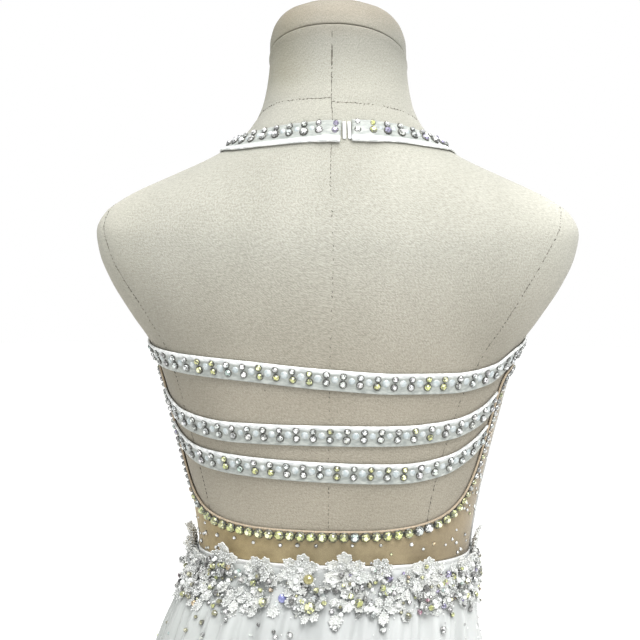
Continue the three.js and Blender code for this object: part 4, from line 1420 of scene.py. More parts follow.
STRAP_PROFILE = [  # across and out, as shares of the half width and of the cloth's thickness
    (-1, 0.4), (-0.985, 0.85), (-0.93, 1.12), (-0.84, 1.1), (-0.74, 0.96), (-0.4, 0.92), (0, 0.92),
    (0.4, 0.92), (0.6, 0.95), (0.7, 1.12), (0.82, 1.35), (0.93, 1.3), (0.985, 1.0), (1.0, 0.5),
    (0.97, 0.1), (0.9, 0), (0.4, 0), (0, 0), (-0.4, 0), (-0.9, 0), (-0.97, 0.1),
]
STRAP_TOP = CLEARANCE + 0.92 * SPANDEX


def binding_angle(way, height):
    """The angle just inside the binding at a height, on the wearer's left (1) or right (-1)."""
    part = np.arange(0, 1, 0.002)
    angle, high = beside(back_edge, (1 + way * part) / 2, SEAM_GAP + BINDING_WIDTH + 0.5)
    k = int(np.argmax(high >= height)) if (high >= height).any() else -1
    return float(angle[k])


class Strap:
    """An elastic strap: a line of places on the form, and the same beside it."""

    def __init__(self, stations, place):
        self.stations, self.place = stations, place  # place(t, across in mm) gives angle, height
        self.middle = form(*place(np.linspace(0, 1, 300), 0))
        self.length = lengths_along(self.middle)[-1]

    def rings(self, width, rng, folded):
        """The strap's rings; a folded hem of a length in millimetres thickens its first end."""
        t = np.linspace(0, 1, self.stations)
        half = width / 2
        hem = (1 - smooth(t * self.length, folded * 0.8, folded)) if folded else 0 * t
        waver = np.cumsum([rng.gauss(0, 0.02) for _ in t])
        waver = np.clip(waver - np.linspace(waver[0], waver[-1], len(t)), -0.25, 0.25)
        rings, uv = [], []
        for across, out in STRAP_PROFILE:
            shift = half * across + waver + hem * max(across, 0) * 0.9
            rings.append(moved_out(form, *self.place(t, shift), CLEARANCE + SPANDEX * out * (1 + 0.7 * hem)))
            uv.append(np.stack([t * self.length, shift], -1))
        return np.stack(rings, 1), np.stack(uv, 1)


def back_strap(name):
    rows = BACK_STRAPS[name]
    centre = curve(rows["angle"], rows["height"])

    def end(way, above):
        side = DRESS_TURN + way * (SIDE_SEAM - 0.2)
        if name == "top":
            return side
        angle = side
        for _ in range(8):
            angle = binding_angle(way, float(centre(angle)) + above)
        return angle

    half = bpy.context.scene.dress_looks.strap_width / MM / 2
    marks = np.linspace(-half, half, 5)
    right, left = ([end(way, above) for above in marks] for way in (-1, 1))

    def place(t, across):
        across = np.broadcast_to(across, np.shape(t))
        start, stop = np.interp(across, marks, right), np.interp(across, marks, left)
        angle = start + (stop - start) * t
        return angle, centre(angle) + across

    return Strap(150, place)


def neck_strap(way, start):
    centre = path(NECK_STRAP["angle"], NECK_STRAP["left" if way > 0 else "right"])
    first = way * start / NECK_STRAP["angle"][1] / (len(NECK_STRAP["angle"]) - 1)

    def line(t):
        along = first + (1 - first) * np.asarray(t, float)
        angle, height = centre(np.abs(along))
        return way * np.sign(along) * angle + DRESS_TURN * smooth(angle, 60, 150), height

    def place(t, across):
        return beside(line, t, -way * (np.asarray(across, float) - 0.6))

    return Strap(130, place)


STRAPS = {}


class DRESS_OT_straps(bpy.types.Operator):
    """Makes the three back straps, the neck strap and its clasp"""

    bl_idname = "dress.straps"
    bl_label = "Straps"

    def execute(self, context):
        looks = context.scene.dress_looks
        rng = random.Random(11)
        for name in BACK_STRAPS:
            strap = STRAPS[name] = back_strap(name)
            self.make("elastic_strap_" + name, "back_strap_" + name, looks.strap_width, strap, rng, 0.0)
        for name, way, start in (("left", 1, LEFT_STRAP_END), ("right", -1, RIGHT_STRAP_END)):
            strap = STRAPS[name] = neck_strap(way, start)
            self.make("halter_strap_" + name, "neck_strap_" + name, looks.neck_width, strap, rng, CLASP_HEM)
        self.clasp()
        return {"FINISHED"}

    def make(self, name, node, width, strap, rng, folded):
        rings, uv = strap.rings(width / MM, rng, folded)
        piece = swept(name, rings, finish("strap_elastic"), uv)
        keep(piece, [node])

    def clasp(self):
        """The hook and the bar, each a small moulded plate with a sunk face."""
        height = NECK_STRAP["right"][0]
        for node, (start, stop) in CLASP_SPANS.items():
            point, out, around, up = lie(form, (start + stop) / 2, height)
            wide = np.linalg.norm(form(stop, height) - form(start, height))
            turn = Matrix((Vector(around), Vector(up), Vector(np.cross(around, up)))).transposed()
            lift = 1.0 if np.dot(np.cross(around, up), out) > 0 else -1.0
            deselect()
            bpy.ops.mesh.primitive_cube_add(size=1)
            plate = bpy.context.object
            plate.name = node + "_moulded"
            plate.scale = (wide * 0.82 * MM, 15.2 * MM, SPANDEX * 0.9 * MM)
            bpy.ops.object.transform_apply(scale=True)
            bevel = plate.modifiers.new("round", "BEVEL")
            bevel.width, bevel.segments = 0.45 * MM, 3
            bpy.ops.object.modifier_apply(modifier=bevel.name)
            select_faces(lambda face: face.normal.z * lift > 0.95)
            in_edit_mode(
                lambda: bpy.ops.mesh.inset(thickness=0.45 * MM),
                lambda: bpy.ops.transform.translate(value=(0, 0, -lift * 0.5 * MM)),
            )
            settle(plate.data)
            bpy.ops.object.shade_smooth_by_angle(angle=math.radians(40))
            where = Vector(point + out * (CLEARANCE + SPANDEX / 2)) * MM
            plate.data.transform(Matrix.Translation(where) @ turn.to_4x4())
            plate.data.materials.append(finish("milky_plastic"))
            keep(plate, [node])


# ---- the skirt

# Creases that the gathers leave in the chiffon: angle, where each starts and ends, its half
# width in degrees and its depth in millimetres.
CREASES = [
    (79, 1000, 860, 1.6, 2.6), (71, 985, 800, 2.2, 3.0), (62, 1000, 900, 1.3, 1.8),
    (55, 980, 760, 2.4, 3.4), (44, 1000, 880, 1.5, 2.2), (35, 985, 820, 1.8, 3.2),
    (29, 1000, 930, 1.2, 1.6), (21, 990, 780, 2.3, 3.0), (11, 1000, 900, 1.4, 2.0),
    (2, 985, 800, 2.0, 2.8), (-7, 1000, 920, 1.3, 1.7), (-14, 980, 780, 2.2, 3.1),
    (-24, 1000, 880, 1.5, 2.2), (-33, 985, 840, 1.7, 2.6), (-41, 1000, 780, 2.2, 2.9),
    (-52, 985, 900, 1.3, 1.9), (-60, 1000, 820, 1.9, 2.8), (-70, 980, 800, 2.2, 3.2),
    (-80, 1000, 880, 1.5, 2.0), (-88, 985, 840, 1.8, 2.6),
]


def sway(angle, height):
    """How far the skirt's left side hangs in from the even cone, in millimetres."""
    return -6.0 * smooth(1000 - height, 0, 40) * np.exp(-((apart(angle, 88) / 30) ** 2))


def creases():
    """The creases, with similar ones round the sides that face away, and a small one by each."""
    rng = random.Random(23)
    made, angle = list(CREASES), 86.0
    while angle < 262:
        high, low = rng.choice((1000, 990, 980)), rng.uniform(770, 920)
        made.append((angle, high, low, rng.uniform(1.3, 2.3), rng.uniform(1.7, 3.3)))
        angle += rng.uniform(7, 11)
    for at, high, low, _, depth in list(made):
        at, high, low = at + rng.uniform(3, 5.5), high - rng.uniform(0, 12), low + rng.uniform(0, 60)
        made.append((at, high, low, 0.95, depth * 0.62))
    return made


ALL_CREASES = creases()


def skirt_relief(angle, height):
    """How far the gathers lift or sink the chiffon, in millimetres."""
    lift = 0.0
    for at, high, low, width, depth in ALL_CREASES:
        spread = width * (1 + 0.9 * (high - height) / 200)
        away = np.abs(apart(angle, at))
        along = smooth(high + 14 - height, 0, 34) * smooth(height - low, -30, 90)
        beside_it = (away - 2.4 * spread) / np.maximum(1.3 * spread, 0.6)
        lift = lift - depth * along * np.exp(-((away / np.maximum(spread, 0.6)) ** 2))
        lift = lift + 0.45 * depth * along * np.exp(-(beside_it**2))
    fine = np.sin(np.radians(angle * 53) + 1.3 * np.sin(np.radians(angle * 7))) * smooth(1004 - height, 0, 20)
    return lift + 0.55 * fine * smooth(height - 840, 0, 120)


SKIRT_COLUMNS = 84  # the solid's columns round the skirt, in which its panels' edges are given
SKIRT_PANELS = {  # first and last column, flat size and area in metres
    "skirt_back": (-22, 24, (1.16, 0.62), 0.47),
    "skirt_front": (24, 62, (0.96, 0.62), 0.39),
}
TAPE_PROFILE = [  # up and out of the waist tape
    (0, 0.1), (0.2, 1.2), (2, 1.35), (5, 1.4), (6.4, 1.8), (7.4, 1.9), (7.95, 1.3), (8, 0.3), (5, 0), (1, 0),
]


class DRESS_OT_skirt(bpy.types.Operator):
    """Makes the waist band and the gathered chiffon skirt"""

    bl_idname = "dress.skirt"
    bl_label = "Skirt"

    def execute(self, context):
        self.band()
        for node, (first, last, flat, area) in SKIRT_PANELS.items():
            piece = self.panel(node, first, last)
        return {"FINISHED"}

    def panel(self, node, first, last):
        top, column = WAIST - 3.4, 360 / SKIRT_COLUMNS
        angle = np.linspace(first * column + 0.06, last * column - 0.06, (last - first) * 6 + 1)
        spaced = [np.arange(top - 4, 880, -4), np.arange(880, 700, -6), np.linspace(700, HEM + 1.2, 26)]
        height = np.unique(np.round(np.r_[(top, *spaced)], 3))
        angles, heights = np.meshgrid(angle, height)
        hem = 0.5 * np.exp(-(((heights - HEM - 5) / 3) ** 2))
        relief = skirt_relief(angles, heights)
        relief = np.maximum(1.25 * relief, -1.2 - 4.0 * smooth(top - heights, 4, 60))
        relief = relief + 0.9 * (1 - smooth(top - heights, 5, 9)) + sway(angles, heights)
        outer = moved_out(skirt, angles, heights, CHIFFON + relief + hem)
        inner = moved_out(skirt, angles, heights, relief + 0.35 * CHIFFON - hem)
        uv = np.stack([np.radians(angles) * 170, heights], -1)
        return keep(cloth(node + "_panel", outer, inner, finish("chiffon"), uv), [node])

    def band(self):
        """The bright narrow tape round the waist, standing a little above the seam."""
        angle = np.linspace(0, 360, 241)[:-1]
        rings = [
            moved_out(form, angle, np.full_like(angle, WAIST - 8 + up), CLEARANCE + out)
            for up, out in TAPE_PROFILE
        ]
        rows, columns = len(TAPE_PROFILE), len(angle)
        c = np.arange(columns)
        n, top = (c + 1) % columns, (rows - 1) * columns
        closing = np.stack([top + c, c, n, top + n], -1)
        faces = np.concatenate([grid_faces(rows, columns, True), closing])
        uv = np.stack(np.broadcast_arrays(np.radians(angle)[None] * 100, np.arange(rows)[:, None] * 1.0), -1)
        points = np.concatenate(rings)
        piece = new_piece("waist_band_tape", points, [faces], finish("white_spandex"), uv.reshape(-1, 2))
        keep(piece, ["waist_band"])


# ---- the lace


RIMS, BACKS = [], []  # where beads go on the petals made so far: their rims and middles, their backs


def petal(flower, layer, direction, rng):
    """The outer and inner points of one petal or leaf, whose rim and middle are kept for its beads."""
    angle, height, radius, _, lift = flower
    reach_of, half_of, rise, cup, thick = layer
    v, w = np.meshgrid(np.linspace(0.06, 1, 8), np.linspace(-1, 1, 13), indexing="ij")
    reach = radius * reach_of * rng.uniform(0.82, 1.05)
    widths = np.radians(9 + half_of * np.sin(np.pi * v**1.2 * 0.72))
    knobs = 0.07 * v * np.cos(w * 8.5 + rng.uniform(-0.6, 0.6))
    far = reach * v * (1 - 0.3 * v * np.abs(w) ** 2.2 + knobs)
    around = np.radians(direction) + w * widths
    sides = [skirt(np.array(angle + half), np.array(height)) for half in (0.5, -0.5)]
    degree = np.linalg.norm(sides[0] - sides[1])
    angles, heights = angle + far * np.sin(around) / degree, height + far * np.cos(around)
    rim = np.maximum(smooth(np.abs(w), 0.72, 0.95), smooth(v, 0.86, 0.97))
    veins = 0.22 * np.cos(w * 14) * v * (1 - rim)
    standing = lift > STANDING_LIFT
    lift = lift * (0.9 if reach_of > 0.8 else 0.6) * (0.62 if standing and angle < 0 else 1)
    base = FLOWER_OUT + lift * (far / radius) ** 2 + rise + sway(angles, heights)
    base = base + cup * v * (0.6 * w**2 - 0.35) + 0.3 * np.sin(4 * w + 3 * v + rng.uniform(0, 6)) * v
    base = base + np.clip(skirt_relief(angles, heights), -0.6, 1.2)
    point, out, _, _ = lie(skirt, angles, heights)
    inner = point + out * base[..., None]
    outer = point + out * (base + thick * (0.7 + 0.6 * rim) + veins)[..., None]
    edge = [np.concatenate([grid[2:, 0], grid[-1, 1:-1], grid[:1:-1, -1]]) for grid in (outer, out)]
    RIMS.append((*edge, outer[5, 6], out[5, 6]))
    if standing:
        BACKS.extend(zip(inner[1::2, 1::2].reshape(-1, 3), out[1::2, 1::2].reshape(-1, 3)))
    return outer, inner


def wall_parts(outer, inner):
    """The points and faces of a closed wall, for joining."""
    faces = wall_faces(*outer.shape[:2])
    points = np.concatenate([outer.reshape(-1, 3), inner.reshape(-1, 3)])
    if volume(points, [faces]) < 0:
        faces = faces[:, ::-1]
    return points, faces, None


# The shapes of petals and leaves: share of the flower's radius, half width in degrees, rise, cup
# and thickness.
LAYERS = ((1.0, 21, 0.0, 0.8, 0.8), (0.62, 24, 1.3, 1.5, 0.7))
LEAF = (1.0, 27, -2.1, 0.5, 0.7)
STANDING_LIFT = 6  # a flower with more lift stands off at the side, and its backs show


def blossom(flower, rng, layers=LAYERS, petals=6):
    parts = []
    for k, layer in enumerate(layers):
        for p in range(petals):
            direction = flower[3] + 360 * p / petals + k * 180 / petals + 36 + rng.uniform(-9, 9)
            parts.append(wall_parts(*petal(flower, layer, direction, rng)))
    return parts


BLOSSOMS, BLOSSOM_WIDTH = 34, 0.021  # how many small blossoms, and each one's width in metres


def small_blossoms():
    """Smaller blossoms between and below the flowers, all round the waist."""
    rng = random.Random(31)
    made = []
    for k in range(BLOSSOMS):
        angle = -180 + 360 * (k + rng.uniform(-0.25, 0.25)) / BLOSSOMS
        height = (988, 981, 995, 985)[k % 4] + rng.uniform(-4, 4)
        made.append((angle, height, rng.uniform(8.5, 12.5), rng.uniform(0, 72), rng.uniform(0.8, 1.8)))
    return made


def sprays():
    """The leaves of the lace ground, the low ones pointing down: each leaf, its direction and its shape."""
    rng = random.Random(37)
    made = []
    for k in range(64):
        for row, height in enumerate((1003, 997, 989, 981)):
            angle = -180 + 360 * (k + 0.5 * (row % 2) + rng.uniform(-0.3, 0.3)) / 64
            if rng.random() < (0.04, 0.04, 0.1, 0.35)[row] or open_place(angle, height - 5):
                continue
            turn = rng.uniform(0, 360) if row < 2 else 180 + rng.gauss(0, 38)
            leaf = (angle, height + rng.uniform(-3, 3), rng.uniform(8, 13), 0, rng.uniform(0, 0.9))
            made.append((leaf, turn, LEAF[:2] + ((-0.9, -0.5, -0.3, -1.6)[row],) + LEAF[3:]))
    return made


OPEN_PLACES = [  # angle, height, half width in degrees, half height
    (31.5, 996, 2.2, 9), (38, 972, 4, 12), (-3.5, 975, 4.5, 8), (22, 966, 3, 8), (-29, 962, 3, 6),
    (-46, 962, 3.5, 6), (120, 975, 5, 10), (151, 985, 4, 10), (180, 970, 5, 8), (-99, 968, 4, 8),
    (-128, 978, 4, 10), (-150, 966, 5, 8),
]


def open_place(angle, height):
    """Whether the chiffon shows between the lace's leaves at a place."""
    return any(
        apart(angle, at) ** 2 / wide**2 + (height - high) ** 2 / tall**2 < 1
        for at, high, wide, tall in OPEN_PLACES
    )


class DRESS_OT_lace(bpy.types.Operator):
    """Makes the lace band, its flowers and the smaller blossoms between them"""

    bl_idname = "dress.lace"
    bl_label = "Lace"

    def execute(self, context):
        self.band()
        rng = random.Random(17)
        for k, flower in enumerate(FLOWERS):
            number = f"{k + 1:02d}"
            piece = joined(f"flower_{number}_petals", blossom(flower, rng), finish("lace"), flat=False)
            keep(piece, [f"lace_flower_{number}"])
        parts = []
        for flower in small_blossoms():
            if not open_place(flower[0], flower[1]):
                parts += blossom(flower, rng, (LAYERS[0],), 5)
        piece = keep(joined("lace_blossoms", parts, finish("lace"), flat=False))
        return {"FINISHED"}

    def band(self):
        """The open lace ground, of overlapping leaves."""
        rng = random.Random(19)
        parts = [wall_parts(*petal(leaf, shape_of, turn, rng)) for leaf, turn, shape_of in sprays()]
        piece = keep(joined("lace_band", parts, finish("lace"), flat=False), ["waist_lace"])


# ---- stones and beads

OLIVE, DARK, GOLD, INDIGO = (0.25, 0.24, 0.07), (0.06, 0.06, 0.05), (0.3, 0.26, 0.04), (0.2, 0.22, 0.55)
YELLOW_GREEN, CLEAR, GREY, VIOLET, TEAL, AMBER, WINE = (
    (0.6, 0.63, 0.16), (0.82, 0.85, 0.82), (0.4, 0.42, 0.4), (0.3, 0.25, 0.5), (0.44, 0.6, 0.54),
    (0.55, 0.36, 0.12), (0.34, 0.08, 0.17),
)


def shaky(rng, amount):
    return Vector([rng.gauss(0, amount) for _ in range(3)])


def glint(rng, weights):
    """A stone's colour, drawn by weight and varied a little."""
    colours = (YELLOW_GREEN, CLEAR, GREY, VIOLET, TEAL, AMBER, WINE)
    base = rng.choices(colours, weights)[0]
    light = rng.uniform(0.75, 1.15)
    return tuple(min(1, part * light * rng.uniform(0.95, 1.05)) for part in base)


# How the colours of glint() are weighed along the open edge, from an angle to another.
EDGE_TINTS = [
    (-360, -62, (1, 5, 4, 0, 0.6, 0.2, 0)),
    (-62, -42, (6, 2, 1, 0, 0, 0, 0)),
    (-42, -31, (2, 7, 1, 0, 1, 0, 0)),
    (-31, -12.6, (1, 0, 0, 0, 0, 0, 0)),
    (-12.6, -6.2, (0, 0, 0, 0, 1, 0, 0)),
    (-6.2, 40, (1, 0, 0, 0, 0, 0, 0)),
    (40, 62, (8, 1, 1, 0, 0, 0, 0)),
    (62, 360, (1, 5, 4, 0, 0.6, 0.2, 0)),
]
EDGE_SAMPLES = 2000
SMALL_EDGE_STONE = 4.6  # up the sides of the open edge

# Uneven rows of stones on the nude mesh at the back: how far above the waist, the step round the
# body in degrees, and the smallest and largest stone.
MESH_ROWS = [(16, 10, 2.6, 4), (6, 24, 2.6, 4.2)]
STREWN = 90  # how many more stones are strewn over the mesh, before those that lie badly are left out
ON_MESH = CLEARANCE + NUDE_MESH
DEGREE = 1.9  # length of one degree round the waist at the back


def spot(place):
    """The point and the way out at one place on the form, given as arrays of one."""
    point, out, _, _ = lie(form, *place)
    return point[0], out[0]


class DRESS_OT_stones(bpy.types.Operator):
    """Sets the stones and pearls on the straps, the open edge and the nude mesh"""

    bl_idname = "dress.stones"
    bl_label = "Stones"

    def execute(self, context):
        looks = context.scene.dress_looks
        self.straps(looks)
        self.edge(looks)
        self.scattered()
        return {"FINISHED"}

    def straps(self, looks):
        """Pairs of stones, with a pearl after each pair."""
        rng = random.Random(41)
        stones, settings, pearls = [], [], []
        pitch = looks.stone_pitch / MM
        upper, lower = looks.upper_stone / MM, looks.lower_stone / MM
        for name, strap in STRAPS.items():
            neck = name in ("left", "right")
            step = pitch * (0.94 if neck else 1)
            marks = evenly(strap.middle, step / 2, 4.5 if neck else 3.5)
            rows = ((-6.9, upper * 1.06), (-0.7, lower * 1.12)) if neck else ((3.7, upper), (-2.5, lower))
            for k, t in enumerate(marks):
                t = np.array([t])
                if k % 2:
                    point, out = spot(strap.place(t, np.array([-3.2 if neck else 0.4])))
                    size = looks.pearl / MM * rng.uniform(0.9, 1.1) * (0.85 if neck else 1)
                    point = point + out * (STRAP_TOP - 1.0)
                    pearls.append(set_down("pearl", point, out, size, rng.uniform(0, 6)))
                    continue
                green = 4.5 if abs(float(strap.place(t, np.zeros(1))[0][0])) < 50 and not neck else 0.6
                weights = (green, 8, 2, 1.2 if neck else 0.15, 0.2, 0, 0.5 if neck else 0)
                pair = glint(rng, weights)
                for across, size in rows:
                    size *= rng.uniform(0.94, 1.06)
                    point, out = spot(strap.place(t, np.array([across + rng.uniform(-0.35, 0.35)])))
                    point = point + out * (STRAP_TOP - 0.15)
                    colour = pair if rng.random() < 0.75 else glint(rng, weights)
                    tilt = Vector(out) + shaky(rng, 0.05)
                    turn, top = rng.uniform(0, 6), point + out * 0.25
                    settings.append(set_down("setting", point, out, size * 1.2, turn))
                    stones.append(set_down("crystal", top, tilt, size, turn, colour, painted_facet_light(rng)))
        self.keep_stones("strap", stones, settings)
        keep(joined("strap_pearls", pearls, finish("opal_pearl"), flat=False))

    def keep_stones(self, where, stones, settings):
        keep(joined(where + "_stones", stones, finish("crystal")))
        keep(joined(where + "_settings", settings, finish("stone_setting")))

    def edge(self, looks):
        """The row of stones that hangs below the open edge, big at the bottom, small up the sides."""
        rng = random.Random(43)
        stones, settings = [], []
        big = looks.edge_stone / MM
        parts = np.linspace(0, 1, EDGE_SAMPLES)
        lengths = lengths_along(form(*back_edge(parts)))
        at = 2.0
        while at < lengths[-1] - 2:
            t = np.array([np.interp(at, lengths, parts)])
            angle, height = back_edge(t)
            share = 1 - float(smooth(height[0], 1048, 1075))
            size = SMALL_EDGE_STONE + (big - SMALL_EDGE_STONE) * share * rng.uniform(0.94, 1.04)
            point, out = spot(beside(back_edge, t, np.array([-0.25 - size / 2])))
            base = point + out * (ON_MESH + 0.3)
            weights = next(w for low, high, w in EDGE_TINTS if low <= angle[0] < high)
            colour = toned(glint(rng, weights), 0.9)
            turn, top = rng.uniform(0, 6), base + out * 0.35
            stones.append(set_down("big_crystal", top, out, size, turn, colour, painted_facet_light(rng)))
            settings.append(set_down("setting", base - out * 0.3, out, size * 1.16, turn))
            at += size * 1.11 + rng.uniform(0, 0.4)
            if share > 0.4:
                between = np.array([np.interp(at - size * 0.56, lengths, parts)])
                point, out = spot(beside(back_edge, between, np.array([-size / 2])))
                settings.append(set_down("setting", point + out * ON_MESH, out, 4.0, turn))
        self.keep_stones("edge", stones, settings)

    def rows(self):
        """The uneven rows of stones above the waist, where no flower covers them."""
        rng = random.Random(59)
        for rise, step, small, large in MESH_ROWS:
            angle = -74 + rng.uniform(0, step)
            while angle < 76:
                height = WAIST + rise + rng.uniform(-1.6, 1.6)
                free = all(
                    math.hypot((angle - at) * DEGREE, height - high) > radius + 1
                    for at, high, radius, _, _ in FLOWERS
                )
                colour = rng.choices((CLEAR, AMBER, GREY, DARK), (14, 2, 2, 1))[0]
                if free:
                    yield angle, height, rng.uniform(small, large), colour
                angle += step * rng.uniform(0.6, 1.4)

    def scattered(self):
        """Small stones strewn over the nude mesh: rows at the back, and more up and round the sides."""
        rng = random.Random(47)
        stones, settings = [], []
        places = list(self.rows())
        for k in range(STREWN):
            t = (k + rng.random()) / STREWN
            rise = rng.random() ** 1.4 * 0.8 + 0.04
            angle, height = (float(v[0]) for v in back_edge(np.array([t])))
            waist = waist_below(t)
            place = waist + (angle - waist) * rise, WAIST + SEAM_GAP + (height - WAIST) * rise
            middle = abs(place[0]) < 55 and place[1] < 1050
            if height - place[1] < 9 or (middle and rng.random() < 0.75):
                continue
            places.append((*place, rng.choice((1.8, 2.3, 2.8)), glint(rng, (0.8, 9, 1.4, 0, 0, 0.4, 0))))
        for angle, height, size, colour in places:
            point, out, _, _ = lie(form, angle, height)
            base, turn = point + out * (ON_MESH - 0.05), rng.uniform(0, 6)
            settings.append(set_down("setting", base, out, size * 1.12, turn))
            # Paler painted facet light for the small stones on the mesh.
            facets = painted_facet_light(rng, BRIGHT_FACET_LIGHT)
            stones.append(set_down("crystal", base + out * 0.2, out, size, turn, colour, facets))
        self.keep_stones("mesh", stones, settings)


# The larger stones among the lace at the back: the flower that each lies by, how far from its
# centre towards the wearer's left and up, in millimetres, its size, colour and kind.
FEATURES = [
    (2, -24, -25, 5.4, AMBER, "crystal"),
    (2, -12, -2, 5.4, GREY, "crystal"),
    (3, -3, -4, 5, YELLOW_GREEN, "crystal"),
    (3, 14, -12, 5, OLIVE, "crystal"),
    (4, 12, -43, 4.6, GREY, "crystal"),
    (4, 0, -8, 4.6, OLIVE, "crystal"),
    (4, -12, -28, 8, YELLOW_GREEN, "crystal"),
    (5, 8, -23, 7.5, INDIGO, "pearl"),
    (5, -6, -7, 8.5, GOLD, "pearl"),
    (5, -12, -30, 10, YELLOW_GREEN, "big_crystal"),
    (5, -3, -49, 5.6, CLEAR, "crystal"),
    (6, 1, -44, 6, CLEAR, "crystal"),
    (6, -10, -26, 7.5, YELLOW_GREEN, "crystal"),
    (6, -16, -12, 5, OLIVE, "crystal"),
    (7, -6, -9, 6, VIOLET, "crystal"),
    (7, -6, -48, 6, CLEAR, "crystal"),
    (8, 7, -28, 5, WINE, "crystal"),
    (8, -4, -26, 5, YELLOW_GREEN, "crystal"),
    (8, -12, 0, 4, WINE, "crystal"),
    (8, -19, -2, 4, VIOLET, "crystal"),
    (8, -17, -8, 4.2, WINE, "crystal"),
    (8, -14, -43, 6.4, CLEAR, "crystal"),
]


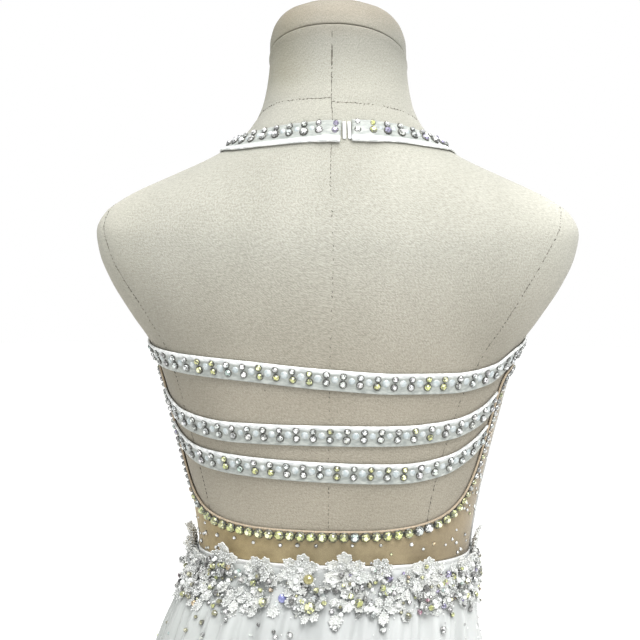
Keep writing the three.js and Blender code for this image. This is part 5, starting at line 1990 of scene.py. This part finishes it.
class DRESS_OT_beadwork(bpy.types.Operator):
    """Sews beads, sequins and stones over the lace and strews some on the skirt"""

    bl_idname = "dress.beadwork"
    bl_label = "Beadwork"
    tree = None

    def execute(self, context):
        self.rng = rng = random.Random(53)
        self.ground = self.lace_and_skirt()
        stones = self.stones()
        beads, sequins = [], []
        self.flower_middles(beads)
        self.petal_rims(beads, sequins)
        for point, way in BACKS:
            size = rng.uniform(1.9, 2.9)
            beads.append(set_down("seed", point + way * 0.3, -way, size, rng.uniform(0, 6), self.white()))
        for _ in range(context.scene.dress_looks.beads):
            place = self.somewhere(0.06)
            if not open_place(*place):
                self.sew(beads, "seed", place, rng.choice((1.0, 1.2, 1.5, 2.1)), self.white())
        for _ in range(170):
            self.sew(beads, "bead", self.somewhere(0.08), rng.uniform(3.3, 4.8), toned(self.white(), 1.1))
        for _ in range(340):
            place, size = self.somewhere(0.12), rng.choice((2.6, 3.2, 3.8))
            self.sew(sequins, "sequin", place, size, glint(rng, (0.8, 9, 3, 0.3, 0.6, 0, 0)), 0.35)
        keep(joined("lace_beads", beads, finish("bead"), flat=False))
        keep(joined("lace_sequins", sequins, finish("sequin")))
        keep(joined("lace_stones", stones, finish("crystal")))
        return {"FINISHED"}

    def flower_middles(self, beads):
        """A bead in the middle of each flower and blossom, in a ring of smaller ones."""
        for angle, height, radius, turn, _ in FLOWERS + small_blossoms():
            big = radius > 13
            if big or not open_place(angle, height):
                self.sew(beads, "bead", (angle, height), 5.0 if big else 3.6, self.white())
            count = 7 if big else 5
            reach = radius * 0.22 + 1.2
            for k in range(count):
                turned = math.radians(turn + 360 * k / count)
                place = angle + reach * math.sin(turned) / 2.1, height + reach * math.cos(turned)
                self.sew(beads, "seed", place, self.rng.uniform(1.4, 2.0), self.white())

    def petal_rims(self, beads, sequins):
        """Seed beads round each petal and leaf, and a sequin in its middle."""
        rng = self.rng
        for edge, ways, middle, way in RIMS:
            size = rng.uniform(1.0, 1.5)
            for t in evenly(edge, size * 1.75):
                k = t * (len(edge) - 1)
                low, part = int(k), k - int(k)
                high = min(low + 1, len(edge) - 1)
                point = edge[low] * (1 - part) + edge[high] * part - ways[low] * 0.3
                if not self.covered(point):
                    seed = size * rng.uniform(0.85, 1.15), rng.uniform(0, 6), self.white()
                    beads.append(set_down("seed", point, ways[low], *seed))
            tilt = Vector(way) + shaky(rng, 0.25)
            if not self.covered(middle):
                sequin = rng.uniform(2.2, 3.0), rng.uniform(0, 6), toned(self.white(), 0.85)
                sequins.append(set_down("sequin", middle - way * 0.2, tilt, *sequin))

    def stones(self):
        """The cut stones and the larger pearls, whose places the beads then leave free."""
        rng, stones = self.rng, []
        self.places = []
        for near, across, up, size, colour, kind in FEATURES:
            angle, height = FLOWERS[near - 1][0] + across / DEGREE, FLOWERS[near - 1][1] + up
            for turned, share in ((0, 1.0), (180, 0.9)):
                self.sew(stones, kind, (angle + turned, height), size * share, colour, 0.05, 1.4)
        for _ in range(560):
            place, size = self.somewhere(0.1), rng.choice((2.8, 3.4, 4.2, 5.0, 5.8))
            cool = 1.5 if -80 < place[0] < -28 else 0.25
            bright = rng.random() < 0.6
            weights = (3, 3.4, 3.6, cool, 0.3, 0.9, cool * 0.6)
            colour = glint(rng, weights) if bright else rng.choice((DARK, OLIVE))
            self.sew(stones, "crystal", place, size, colour, 0.25, 1.2)
        self.tree = KDTree(len(self.places))
        for k, (point, _) in enumerate(self.places):
            self.tree.insert(point, k)
        self.tree.balance()
        return stones

    def covered(self, point):
        """Whether a stone already lies where a bead would."""
        if self.tree is None:
            return any((Vector(point) - place).length < size * 0.85 for place, size in self.places)
        _, k, far = self.tree.find(Vector(point))
        return far < self.places[k][1] / 2 + 0.7

    def somewhere(self, loose):
        """A place on the lace, or for a share of the calls on the skirt just below it."""
        angle, height = self.rng.uniform(-180, 180), self.rng.triangular(969, 1014, 990)
        if self.rng.random() < loose:
            height = self.rng.uniform(925, 968)
        return angle, height

    def white(self):
        """A bead's colour: mostly white, now and then grey."""
        rng = self.rng
        tone = rng.uniform(0.78, 0.96) if rng.random() < 0.95 else rng.uniform(0.4, 0.6)
        return (0.88 * tone, 0.9 * tone, 0.88 * tone)

    def lace_and_skirt(self):
        """What the beads lie on: the skirt, the lace, its flowers and blossoms."""
        points, faces, first = [], [], 0
        for piece in bpy.context.scene.objects:
            if piece.name.startswith(("flower_", "lace_b", "skirt_back_p", "skirt_front_p")):
                points += [vertex.co.copy() for vertex in piece.data.vertices]
                faces += [[first + index for index in face.vertices] for face in piece.data.polygons]
                first = len(points)
        return BVHTree.FromPolygons(points, faces)

    def sew(self, parts, kind, place, size, colour, loose=0.1, raised=0.0):
        """Drops one bead or raised stone on to the lace from outside and leans it as the lace leans."""
        point, out, _, _ = lie(skirt, *place)
        start, way = Vector(point + out * 45) * MM, -Vector(out)
        hit, normal, _, _ = self.ground.ray_cast(start, way)
        if hit is None:
            return
        lean = (normal if normal.dot(way) < 0 else -normal) * 0.6 + Vector(out) * 0.6
        lean += shaky(self.rng, loose)
        seat = np.array(hit) / MM + out * (raised or -0.15)
        if self.covered(seat):
            return
        if raised:
            self.places.append((Vector(seat), size))
        facets = painted_facet_light(self.rng) if "crystal" in kind else None
        parts.append(set_down(kind, seat, lean, size, self.rng.uniform(0, 6), colour, facets))


# ---- panel and run

OPERATORS = (
    DRESS_OT_stage,
    DRESS_OT_form,
    DRESS_OT_stand,
    DRESS_OT_bodice,
    DRESS_OT_straps,
    DRESS_OT_skirt,
    DRESS_OT_lace,
    DRESS_OT_stones,
    DRESS_OT_beadwork,
)


class DRESS_PT_panel(bpy.types.Panel):
    """Lists the steps that make the dress"""

    bl_idname = "DRESS_PT_panel"
    bl_label = "Dress"
    bl_space_type = "VIEW_3D"
    bl_region_type = "UI"
    bl_category = "Dress"

    def draw(self, context):
        for name in DressLooks.__annotations__:
            self.layout.prop(context.scene.dress_looks, name)
        for operator in OPERATORS:
            self.layout.operator(operator.bl_idname)


CLASSES = (DressLooks, *OPERATORS, DRESS_PT_panel)


def register():
    for kind in CLASSES:
        bpy.utils.register_class(kind)
    bpy.types.Scene.dress_looks = PointerProperty(type=DressLooks)


def unregister():
    del bpy.types.Scene.dress_looks
    for kind in reversed(CLASSES):
        bpy.utils.unregister_class(kind)


def main():
    register()
    for operator in OPERATORS:
        getattr(bpy.ops.dress, operator.bl_idname.split(".")[1])()


if __name__ == "__main__":
    main()
